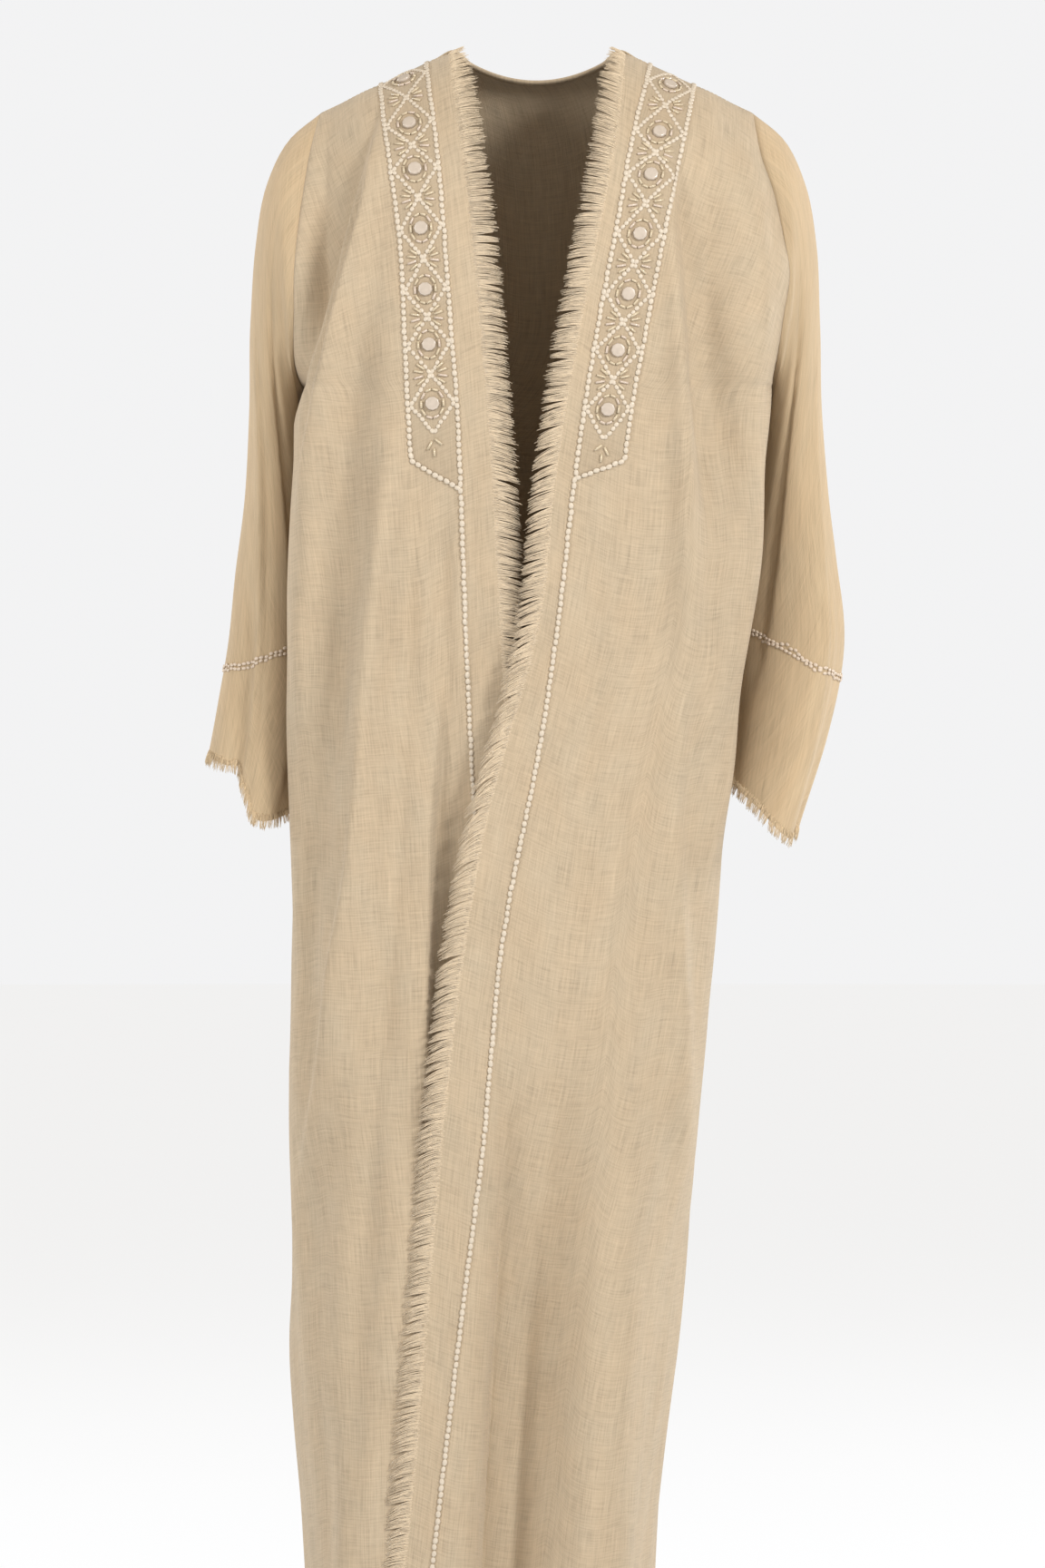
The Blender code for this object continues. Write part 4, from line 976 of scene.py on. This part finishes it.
def cloth_piece(name, panel, finish, slot, node, wall=CLOTH_WALL):
    """A thin wall over a panel's points, with its measure along and across the cloth as its map."""
    grid, across, down = panel.grid, panel.across, panel.down
    if panel.closed:
        step = np.linalg.norm(grid[:, :1] - grid[:, -1:], axis=2)
        grid = np.concatenate([grid, grid[:, :1]], axis=1)
        across = np.concatenate([across, across[:, -1:] + step], axis=1)
        down = np.concatenate([down, down[:, :1]], axis=1)
    mesh = mapped_mesh(name, grid, np.stack([across, -down], axis=2), panel.normals, panel.closed)
    return thicken(own_object(name, mesh, finish, slot, node), wall, -1.0)


COPY_STEP = 10.0


def repeated(name, template, count):
    """One mesh of many copies of a small shape, made by an array, in the copies' own order."""
    holder = linked(name, mesh_from(name, template))
    array = holder.modifiers.new("copies", "ARRAY")
    array.count = count
    array.use_relative_offset = False
    array.use_constant_offset = True
    array.constant_offset_displace = (COPY_STEP, 0.0, 0.0)
    graph = bpy.context.evaluated_depsgraph_get()
    done = bpy.data.meshes.new_from_object(holder.evaluated_get(graph))
    bpy.data.objects.remove(holder)
    points = np.empty(len(done.vertices) * 3)
    done.vertices.foreach_get("co", points)
    points = points.reshape(count, -1, 3)
    points[..., 0] -= COPY_STEP * np.arange(count)[:, None]
    return done, points


def copies_piece(name, template, centres, frames, sizes, finish, slot, *nodes):
    """Copies of a small shape, each at its centre, turned by its frame and with its own three sizes."""
    mesh, points = repeated(name, template, len(centres))
    scaled = points * sizes[:, None, :]
    placed = np.einsum("nvk,nkc->nvc", scaled, frames) + centres[:, None, :]
    return own_object(name, with_points(mesh, placed), finish, slot, *nodes)


def seed_shape():
    bm = bmesh.new()
    bmesh.ops.create_uvsphere(bm, u_segments=8, v_segments=5, radius=0.5)
    return bm


def bugle_shape():
    bm = bmesh.new()
    bmesh.ops.create_cone(bm, cap_ends=True, segments=6, radius1=0.5, radius2=0.5, depth=1.0)
    return bm


def pearl_shape():
    """A flat round stone with a bevelled rim and a slightly crowned top."""
    bm = bmesh.new()
    bmesh.ops.create_cone(bm, cap_ends=True, segments=9, radius1=0.5, radius2=0.44, depth=1.0)
    top = [edge for edge in bm.edges if all(v.co.z > 0 for v in edge.verts)]
    bmesh.ops.bevel(
        bm, geom=top, offset=0.12, segments=3, profile=0.5, affect="EDGES", clamp_overlap=True, material=-1
    )
    return bm


def thread_shape():
    bm = bmesh.new()
    bmesh.ops.create_cone(bm, cap_ends=True, segments=3, radius1=1.0, radius2=0.55, depth=1.0)
    bmesh.ops.translate(bm, verts=bm.verts, vec=(0, 0, 0.5))
    for cut in (0.25, 0.5, 0.75):
        bmesh.ops.bisect_plane(
            bm, geom=bm.verts[:] + bm.edges[:] + bm.faces[:], plane_co=(0, 0, cut), plane_no=(0, 0, 1)
        )
    return bm


def unit(vectors):
    return vectors / np.linalg.norm(vectors, axis=-1, keepdims=True)


def square_to(up, direction):
    """Unit directions to the side and up, square to a direction on the cloth."""
    side = unit(np.cross(up, direction))
    return side, unit(np.cross(direction, side))


def along_line(points, extras, spacing, jitter=0.0):
    """Evenly spaced places along a polyline, with other columns carried along, and its direction there."""
    steps = np.concatenate([[0], np.cumsum(np.linalg.norm(np.diff(points, axis=0), axis=1))])
    count = max(2, int(steps[-1] / spacing))
    at = (np.arange(count) + 0.5) * steps[-1] / count + rng.uniform(-jitter, jitter, count)
    take = lambda values: np.stack([np.interp(at, steps, column) for column in values.T], axis=1)
    direction = unit(np.gradient(points, steps, axis=0))
    return at, take(points), unit(take(direction)), [unit(take(extra)) for extra in extras]


STITCH_SIZE = (0.0006, 0.0005, 0.0026)

# The profile of the neck's binding, as (out from the cloth, down from the edge)
BINDING = (
    (0.0005, 0.0062), (0.0008, 0.0050), (0.0009, 0.0028), (0.0006, 0.0004), (-0.0006, -0.0008),
    (-0.0019, 0.0004), (-0.0022, 0.0030), (-0.0018, 0.0062),
)


def seeds_on_line(points, normals, spacing, size, jitter=0.0002):
    """Centres, frames and sizes (along, across, high) of small beads sewn along a line on the cloth."""
    _, centres, direction, (up,) = along_line(points, [normals], spacing, spacing * 0.06)
    side, up = square_to(up, direction)
    count = len(centres)
    sizes = rng.uniform(0.92, 1.07, (count, 3)) * np.array(size)
    turn = rng.normal(0, 0.14, count)[:, None]
    bent = unit(direction + side * turn)
    across = unit(np.cross(up, bent))
    centres = centres + up * (sizes[:, 2:] * 0.38) + side * rng.normal(0, jitter, count)[:, None]
    return centres, np.stack([bent, across, up], axis=1), sizes


def stitches_on_line(points, normals, pitch=0.0038):
    """Centres, frames and sizes of short stitches along a line on the cloth."""
    _, centres, direction, (up,) = along_line(points, [normals], pitch)
    side, up = square_to(up, direction)
    sizes = np.tile(STITCH_SIZE, (len(centres), 1))
    return centres + up * 0.0001, np.stack([side, up, direction], axis=1), sizes


def binding_piece(name, edge, normals, down, finish, slot):
    """A narrow strip of cloth folded over an edge."""
    out, drop = (np.array(column)[:, None, None] for column in zip(*BINDING))
    along = np.concatenate([[0], np.cumsum(np.linalg.norm(np.diff(edge, axis=0), axis=1))])
    places = np.broadcast_arrays(along[None], np.arange(len(BINDING))[:, None] * 0.002)
    mesh = mapped_mesh(name, edge + normals * out + down * drop, np.stack(places, axis=2))
    return thicken(own_object(name, mesh, finish, slot), 0.0003, 0.0)


def fringe_piece(name, edge, out, up, length, pitch, droop, finish, node, closed=False, pressed=0.0):
    """Fine frayed threads on a cloth edge, side by side in small uneven locks. Droop is read by depth below zero."""
    if closed:
        edge, out, up = (np.vstack([a, a[:1]]) for a in (edge, out, up))
    at, roots, tangent, (away, lift) = along_line(edge, [out, up], pitch, pitch * 0.45)
    count = len(roots)
    total = at.max()
    starts = [0.0]
    while starts[-1] < total:
        starts.append(starts[-1] + rng.uniform(*LOCK_WIDTHS))
    starts = np.array(starts)
    lock = np.clip(np.searchsorted(starts, at, side="right") - 1, 0, len(starts) - 2)
    centre = (starts[lock] + starts[lock + 1]) / 2
    own = lambda low, high: rng.uniform(low, high, len(starts))[lock]
    sweep = np.interp(at, np.linspace(0, total, 40), rng.uniform(-1, 1, 40))
    pull = (centre - at) * own(0.10, 0.52)
    slide = own(-0.0008, 0.0016) + sweep * 0.0010
    raise_by = own(0.0, 0.0014)
    long = length * own(0.92, 1.04) * rng.uniform(0.74, 1.05, count)
    long *= np.interp(-roots[:, 2], (0.0, 0.035), (0.45, 1.0))
    press = np.interp(-roots[:, 2], PRESS_FROM, (0.0, pressed)) * long
    fall = np.interp(-roots[:, 2], *zip(*droop)) * own(0.75, 1.25)
    roots = roots - away * (FRINGE_ROOT + rng.normal(0, 0.0008, (count, 1))) - lift * 0.0004
    mesh, points = repeated(name, thread_shape(), count)
    t = points[..., 2]
    rise = 0.0010 * smooth(t * 6) + rng.normal(0, 0.0003, (count, 1)) * t
    wander = rng.normal(0, 0.00035, (count, 1)) * t + rng.normal(0, 0.0002, (count, 1)) * np.sin(t * 5)
    curve = (
        roots[:, None]
        + away[:, None] * ((long[:, None] + FRINGE_ROOT) * t * (1 - 0.10 * t * t))[..., None]
        + tangent[:, None] * (pull[:, None] * t ** 1.3 + slide[:, None] * t * t + wander)[..., None]
        + lift[:, None] * (rise + raise_by[:, None] * np.sin(t * 2.6) * t - press[:, None] * t)[..., None]
    )
    curve[..., 2] -= fall[:, None] * long[:, None] * t ** 1.7
    width = rng.uniform(*THREAD_WIDTHS, (count, 1))
    falling = away - np.array([0, 0, 1.0]) * fall[:, None]
    ribbon = unit(np.cross(lift, falling))
    placed = (
        curve
        + ribbon[:, None] * (points[..., 0] * width)[..., None]
        + lift[:, None] * (points[..., 1] * width * 0.45)[..., None]
    )
    return own_object(name, with_points(mesh, placed), finish, "fringe", node)


def spots(panel, places, depths_down, column_places):
    """Points and normals of a panel at these places across, this far down along the cloth."""
    points, normals = [], []
    for place, down in zip(np.ravel(places), np.ravel(depths_down)):
        c = np.interp(place, column_places, np.arange(len(column_places)))
        k = min(int(c), len(column_places) - 2)
        f = c - k
        lengths = panel.down[:, k] * (1 - f) + panel.down[:, k + 1] * f
        r = np.interp(down, lengths, np.arange(len(lengths)))
        i = min(int(r), len(lengths) - 2)
        g = r - i
        for source, sink in ((panel.grid, points), (panel.normals, normals)):
            top = source[i, k] * (1 - f) + source[i, k + 1] * f
            foot = source[i + 1, k] * (1 - f) + source[i + 1, k + 1] * f
            sink.append(top * (1 - g) + foot * g)
    return np.array(points), unit(np.array(normals))


def down_at_height(panel, place, z, column_places):
    """How far down the cloth a height lies, on one line of the panel."""
    k = int(round(np.interp(place, column_places, np.arange(len(column_places)))))
    return float(np.interp(-z, -panel.grid[:, k, 2], panel.down[:, k]))


LATTICE_Z = {
    "r": (-0.030, -0.072, -0.112, -0.162, -0.213, -0.259, -0.308),
    "l": (-0.036, -0.080, -0.117, -0.167, -0.217, -0.264, -0.313),
}
PANEL_FOOT = {"r": (-0.379, -0.355), "l": (-0.370, -0.355)}
FRINGE_ROOT = 0.0060
LOCK_WIDTHS = (0.0026, 0.0090)
THREAD_WIDTHS = (0.00026, 0.00042)
PRESS_FROM = (0.60, 0.72)
DROOP = {
    "r": ((0.0, 0.10), (0.40, 0.14), (1.43, 0.20)),
    "l": ((0.0, 0.10), (0.45, 0.16), (0.56, 0.55), (0.62, 0.80), (0.66, 0.60), (0.72, 0.32), (1.43, 0.28)),
}
LINE_SEED = (0.0061, 0.0045, 0.0021)
LATTICE_SEED = (0.0049, 0.0040, 0.0018)
CUFF_SEED = (0.0044, 0.0030, 0.0017)
LATTICE_SLANT = {"r": 0.0064, "l": 0.0075}
LATTICE_HALF = 0.455
LATTICE_MIDDLE = 1.5
LATTICE_SPACING = 0.0043
BURST_BEADS = 10
BURST_ACROSS, BURST_DOWN, BURST_TURN = 0.235, 0.0120, 0.26
RAY_ANGLES = (-38, -14, 12, 36)
ROSE_RAY = 12
RAY_ENDS = (0.0065, 0.0142)
PANEL_WIDTH = 0.040
BUGLE_LENGTH, BUGLE_WIDTH = 0.0076, 0.0021
PEARL_SIZE = (0.0128, 0.0124, 0.0032)
BAND_OFFSETS = (0.0017, -0.0017)
HEM_STITCHES, SEAM_STITCHES, NECK_STITCHES = 0.020, 0.0032, 0.0078

# The beaded band on each sleeve: the angle round the cuff and the height there
BANDS = {
    "r": ((0, -0.524), (60, -0.520), (90, -0.514), (130, -0.504), (180, -0.497), (270, -0.511), (360, -0.524)),
    "l": ((0, -0.532), (50, -0.525), (90, -0.506), (130, -0.493), (180, -0.483), (270, -0.508), (360, -0.532)),
}

print("forms")
front = {side: front_panel(side) for side in ("r", "l")}
back = back_panel()
sleeves = {side: sleeve_panel(side, front[side], back) for side in ("r", "l")}
words = {"r": "right", "l": "left"}

linen = linen_finish("linen", LINEN)
# The sleeves' linen is a copy with painted light, and the beaded ground's linen is partly painted shade
sleeve_linen_painted_light = linen_finish("sleeve_linen_painted_light", SLEEVE_LINEN_PAINTED_LIGHT)
panel_linen_and_painted_shade = linen_finish("panel_linen_and_painted_shade", PANEL_LINEN_AND_PAINTED_SHADE, 0.8)
threads = thread_finish("fringe_thread", THREAD)
cuff_threads = thread_finish("cuff_thread", CUFF_THREAD)
seed_glass = bead_finish("seed_bead", SEED_BEAD, 0.48, 0.15)
pearl_glass = bead_finish("pearl", PEARL, 0.34, 0.4)
cuff_glass = bead_finish("cuff_bead", CUFF_BEAD, 0.5, 0.1)
gold_glass = bead_finish("gold_bugle", GOLD_BUGLE, 0.25, 0.5)
rose_glass = bead_finish("rose_bugle", ROSE_BUGLE, 0.28, 0.5)

print("cloth")
for side in ("r", "l"):
    cloth_piece(
        "cloth_front_" + words[side], front[side], linen, "cloth", "front_" + words[side]
    )
    cloth_piece(
        "cloth_sleeve_" + words[side], sleeves[side], sleeve_linen_painted_light, "cloth", "sleeve_" + words[side]
    )
cloth_piece("cloth_back", back, linen, "cloth", "back")

print("fringe")
for side in ("r", "l"):
    panel = front[side]
    edge = panel.grid[:, 0]
    away = unit(panel.grid[:, 0] - panel.grid[:, 2])
    fringe_piece(
        "fringe_threads_front_" + words[side], edge, away, panel.normals[:, 0], 0.0200, 0.00036, DROOP[side],
        threads, "fringe_front_" + words[side], pressed=0.7 if side == "r" else 0.0,
    )
    panel = sleeves[side]
    fringe_piece(
        "fringe_threads_cuff_" + words[side], panel.grid[-1], unit(panel.grid[-1] - panel.grid[-3]),
        panel.normals[-1], 0.0090, 0.00040, ((0.0, 0.0), (1.5, 0.0)), cuff_threads, "fringe_cuff_" + words[side], True,
    )

print("beads")


def slanted(side, place, down):
    """A place on a beaded panel, lifted towards its outer side as the lattice is."""
    return place, down - LATTICE_SLANT[side] * (place - LATTICE_MIDDLE) / LATTICE_HALF


def lattice_lines(side):
    """The seed-bead lines of a beaded panel, as lists of (place across, distance down the cloth)."""
    panel = front[side]
    heights = LATTICE_Z[side]
    centres = [down_at_height(panel, LATTICE_MIDDLE, z, FRONT_PLACES) for z in heights]
    crossings = [(a + b) / 2 for a, b in zip(centres, centres[1:])]
    first = centres[0] - (crossings[0] - centres[0])
    last = centres[-1] + (centres[-1] - crossings[-1])
    stops = [first] + crossings + [last]
    lines = []
    for k, centre in enumerate(centres):
        for sign in (-1, 1):
            corner = slanted(side, LATTICE_MIDDLE + sign * LATTICE_HALF, centre)
            if stops[k] > 0.004:
                lines.append([(LATTICE_MIDDLE, stops[k]), corner])
            lines.append([corner, (LATTICE_MIDDLE, stops[k + 1])])
    return lines, centres, stops


def seeds_through(panel, line, spacing=0.0054, size=LINE_SEED):
    """Small beads along a run of straight stretches drawn on the panel."""
    spread = [np.linspace(a, b, 24, endpoint=False) for a, b in zip(line, line[1:])]
    spread = np.concatenate(spread + [[line[-1]]])
    points, normals = spots(panel, spread[:, 0], spread[:, 1], FRONT_PLACES)
    return seeds_on_line(points, normals, spacing, size)


def bugles_at(panel, places, length, width):
    """Centres, frames and sizes of tube beads that run between pairs of places on the panel."""
    centres, frames, sizes = [], [], []
    for a, b in places:
        (p, q), (n, m) = spots(panel, [a[0], b[0]], [a[1], b[1]], FRONT_PLACES)
        up = unit(n + m)
        direction = unit(q - p)
        side, up = square_to(up, direction)
        centres.append((p + q) / 2 + up * width * 0.55)
        frames.append([side, up, direction])
        sizes.append([width, width, min(length, float(np.linalg.norm(q - p)))])
    return np.array(centres), np.array(frames), np.array(sizes)


for side in ("r", "l"):
    panel = front[side]
    lines, centres, stops = lattice_lines(side)
    foot_in = down_at_height(panel, 1.0, PANEL_FOOT[side][0], FRONT_PLACES)
    foot_out = down_at_height(panel, 2.0, PANEL_FOOT[side][1], FRONT_PLACES)
    hem_in = panel.down[-1, FRONT_PARTS[0]]
    seeds = [
        seeds_through(panel, [(1.0, 0.004), (1.0, 0.4), (1.0, 0.8), (1.0, 1.2), (1.0, hem_in - 0.004)]),
        seeds_through(panel, [(2.0, 0.004), (2.0, 0.2), (2.0, foot_out), (1.0, foot_in)]),
    ]
    seeds += [seeds_through(panel, line, LATTICE_SPACING, LATTICE_SEED) for line in lines]
    centre, turned, sizes = (np.concatenate(part) for part in zip(*seeds))
    copies_piece("seed_beads_front_" + words[side], seed_shape(), centre, turned, sizes, seed_glass, "beads")

    golds, roses = [], []
    for k, middle in enumerate(centres):
        for step in range(BURST_BEADS):
            angle = (step + 0.5) / BURST_BEADS * 2 * math.pi
            ends = [
                slanted(side, LATTICE_MIDDLE + math.sin(turn) * BURST_ACROSS, middle + math.cos(turn) * BURST_DOWN)
                for turn in (angle - BURST_TURN, angle + BURST_TURN)
            ]
            (golds if (step + k) % 3 else roses).append(ends)
    for k, stop in enumerate(stops[1:], 1):
        if k < len(centres):
            for sign in (-1, 1):
                for angle in RAY_ANGLES:
                    turn = math.radians(angle)
                    spread = []
                    for r in RAY_ENDS:
                        place = LATTICE_MIDDLE + sign * math.cos(turn) * r / PANEL_WIDTH
                        spread.append(slanted(side, place, stop + math.sin(turn) * r))
                    (roses if angle == ROSE_RAY else golds).append(spread)
    stem = stops[-1]
    for lean in (-0.10, 0.10):
        golds.append([
            (LATTICE_MIDDLE + lean * 0.2, stem + 0.0050), (LATTICE_MIDDLE + lean * 1.6, stem + 0.0120),
        ])
    golds.append([(LATTICE_MIDDLE, stem + 0.0125), (LATTICE_MIDDLE, stem + 0.0190)])
    for name, places, finish in (("gold", golds, gold_glass), ("rose", roses, rose_glass)):
        places = [pair for pair in places if min(pair[0][1], pair[1][1]) > 0.006]
        bugles = bugles_at(panel, places, BUGLE_LENGTH, BUGLE_WIDTH)
        copies_piece(f"bugle_beads_{name}_{words[side]}", bugle_shape(), *bugles, finish, "beads")
    points, normals = spots(panel, [LATTICE_MIDDLE] * len(centres), centres, FRONT_PLACES)
    side_way = unit(np.cross(normals, [0, 0, 1.0]))
    turned = np.stack([side_way, unit(np.cross(normals, side_way)), normals], axis=1)
    spin = rng.uniform(0, 0.7, len(points))[:, None]
    first, second = turned[:, 0], turned[:, 1]
    turned = np.stack(
        [first * np.cos(spin) + second * np.sin(spin), second * np.cos(spin) - first * np.sin(spin), turned[:, 2]],
        axis=1,
    )
    sizes = np.tile(PEARL_SIZE, (len(points), 1))
    copies_piece(
        "pearls_" + words[side], pearl_shape(), points + normals * 0.0018, turned, sizes, pearl_glass, "beads"
    )

    tube = sleeves[side]
    angles = tube.across[-1] / (tube.across[-1, -1] * len(tube.across[-1]) / (len(tube.across[-1]) - 1)) * 360
    band_z = np.interp(angles, *zip(*BANDS[side]))
    loop = []
    for offset in BAND_OFFSETS:
        points, normals = [], []
        for column in range(tube.grid.shape[1]):
            heights = -tube.grid[:, column, 2]
            r = np.interp(-(band_z[column] + offset), heights, np.arange(len(heights)))
            i, g = int(r), r - int(r)
            points.append(tube.grid[i, column] * (1 - g) + tube.grid[i + 1, column] * g)
            normals.append(tube.normals[i, column] * (1 - g) + tube.normals[i + 1, column] * g)
        points, normals = np.array(points + points[:1]), unit(np.array(normals + normals[:1]))
        loop.append(seeds_on_line(points, normals, LATTICE_SPACING, CUFF_SEED, 0.0005))
    centre, turned, sizes = (np.concatenate(part) for part in zip(*loop))
    copies_piece("seed_beads_cuff_" + words[side], seed_shape(), centre, turned, sizes, cuff_glass, "beads")

    first, last = list(FRONT_PLACES).index(1.0), list(FRONT_PLACES).index(2.0)
    foot = np.interp(FRONT_PLACES[first : last + 1], (1.0, 2.0), (foot_in, foot_out))
    places = np.tile(FRONT_PLACES[first : last + 1], (90, 1))
    downs = np.linspace(0.002, foot, 90)
    points, normals = spots(panel, places, downs, FRONT_PLACES)
    shape = places.shape + (3,)
    ground = Panel((points + normals * 0.0004).reshape(shape), MIDDLE)
    cloth_piece(
        "beaded_ground_" + words[side], ground, panel_linen_and_painted_shade, "beads", "beadwork_" + words[side], 0.0002
    )

print("stitching")
stitch_thread = thread_finish("stitch_thread", STITCH)
for name, panel, places in (
    ("front_right", front["r"], FRONT_PLACES), ("front_left", front["l"], FRONT_PLACES), ("back", back, BACK_PLACES)
):
    hem = spots(panel, places[1:-1], panel.down[-1, 1:-1] - HEM_STITCHES, places)
    rows = [stitches_on_line(*hem)]
    if name == "back":
        neck = np.abs(places) < NECK_SHARE
        rows.append(stitches_on_line(*spots(panel, places[neck], np.full(neck.sum(), NECK_STITCHES), places)))
        for sign in (-1, 1):
            seam = sign * places > NECK_SHARE
            rows.append(stitches_on_line(*spots(panel, places[seam], np.full(seam.sum(), SEAM_STITCHES), places)))
    else:
        seam = places[1:-1]
        rows.append(stitches_on_line(*spots(panel, seam, np.full(len(seam), SEAM_STITCHES), places)))
    centre, turned, sizes = (np.concatenate(part) for part in zip(*rows))
    copies_piece("stitches_" + name, bugle_shape(), centre, turned, sizes, stitch_thread, "cloth")
inner = np.abs(BACK_PLACES) <= NECK_SHARE + 0.002
binding = binding_piece(
    "neck_binding", back.grid[0, inner], back.normals[0, inner], unit(back.grid[1, inner] - back.grid[0, inner]),
    linen, "cloth",
)

print("sheets")

# Floor, light and camera
FLOOR_Z = -1.475
FLOOR_GLOW = 0.79
ROOM_LIGHT = (0.415, 0.374, 0.325)
BACKDROP = (0.895, 0.895, 0.900)
CAMERA_DISTANCE = 5.2
CAMERA_Z = -0.668
FRAME_HEIGHT = 1728 * 0.00075
FRAME_MIDDLE = ((576 - 592) * 0.00075, -(864 - 35) * 0.00075)
FRONT_PLANE = -0.12
BOX_AIM = (0.0, 0.0, -0.6)
WARM_WHITE, PLAIN_WHITE = (1.0, 0.99, 0.97), (1.0, 1.0, 1.0)

bm = bmesh.new()
bmesh.ops.create_circle(bm, cap_ends=True, segments=64, radius=30.0)
bmesh.ops.translate(bm, verts=bm.verts, vec=(0, 0, FLOOR_Z))
floor = linked("floor", mesh_from("floor", bm))
paper = Finish("floor_paper")
mottle = paper.mixed(paper.flecks(1.5, 2.0), rgba((0.145, 0.155, 0.170)), rgba((0.155, 0.165, 0.180)))
floor.data.materials.append(
    paper.surface(
        Base_Color=mottle, Roughness=0.9, Emission_Color=rgba(PLAIN_WHITE), Emission_Strength=FLOOR_GLOW
    )
)

world = bpy.data.worlds.new("studio")
bpy.context.scene.world = world
world.use_nodes = True
backdrop = world.node_tree.nodes["Background"]
backdrop.inputs["Strength"].default_value = 1.0
rays = world.node_tree.nodes.new("ShaderNodeLightPath")
seen = world.node_tree.nodes.new("ShaderNodeMix")
seen.data_type = "RGBA"
seen.inputs[6].default_value = rgba(ROOM_LIGHT)
seen.inputs[7].default_value = rgba(BACKDROP)
world.node_tree.links.new(rays.outputs["Is Camera Ray"], seen.inputs[0])
world.node_tree.links.new(seen.outputs[2], backdrop.inputs["Color"])


def softbox(name, place, size, watts, colour):
    """A square light that is turned to the garment's middle."""
    lamp = bpy.data.lights.new(name, "AREA")
    lamp.shape = "SQUARE"
    lamp.size = size
    lamp.energy = watts
    lamp.color = colour
    made = linked(name, lamp)
    made.location = place
    x, y, z = np.array(BOX_AIM) - np.array(place)
    made.rotation_euler = (math.atan2(math.hypot(x, y), -z), 0.0, math.atan2(y, x) - math.pi / 2)


softbox("left_box", (-3.2, -2.9, 1.2), 1.1, 84.0, WARM_WHITE)
softbox("right_box", (2.9, -3.3, 1.5), 1.1, 162.0, WARM_WHITE)
softbox("left_back_box", (-3.4, 2.6, 1.0), 1.2, 64.0, PLAIN_WHITE)
softbox("right_back_box", (3.4, 2.6, 1.0), 1.2, 80.0, PLAIN_WHITE)

camera_data = bpy.data.cameras.new("camera")
camera = linked("camera", camera_data)
camera_data.sensor_fit = "VERTICAL"
camera_data.sensor_height = 36.0
camera_data.sensor_width = 24.0
camera_data.lens = 36.0 * CAMERA_DISTANCE / FRAME_HEIGHT
camera_data.shift_y = (FRAME_MIDDLE[1] - CAMERA_Z) / FRAME_HEIGHT
camera.location = (FRAME_MIDDLE[0], FRONT_PLANE - CAMERA_DISTANCE, CAMERA_Z)
camera.rotation_euler = (math.pi / 2, 0.0, 0.0)
bpy.context.scene.camera = camera
bpy.context.scene.view_settings.view_transform = "Standard"
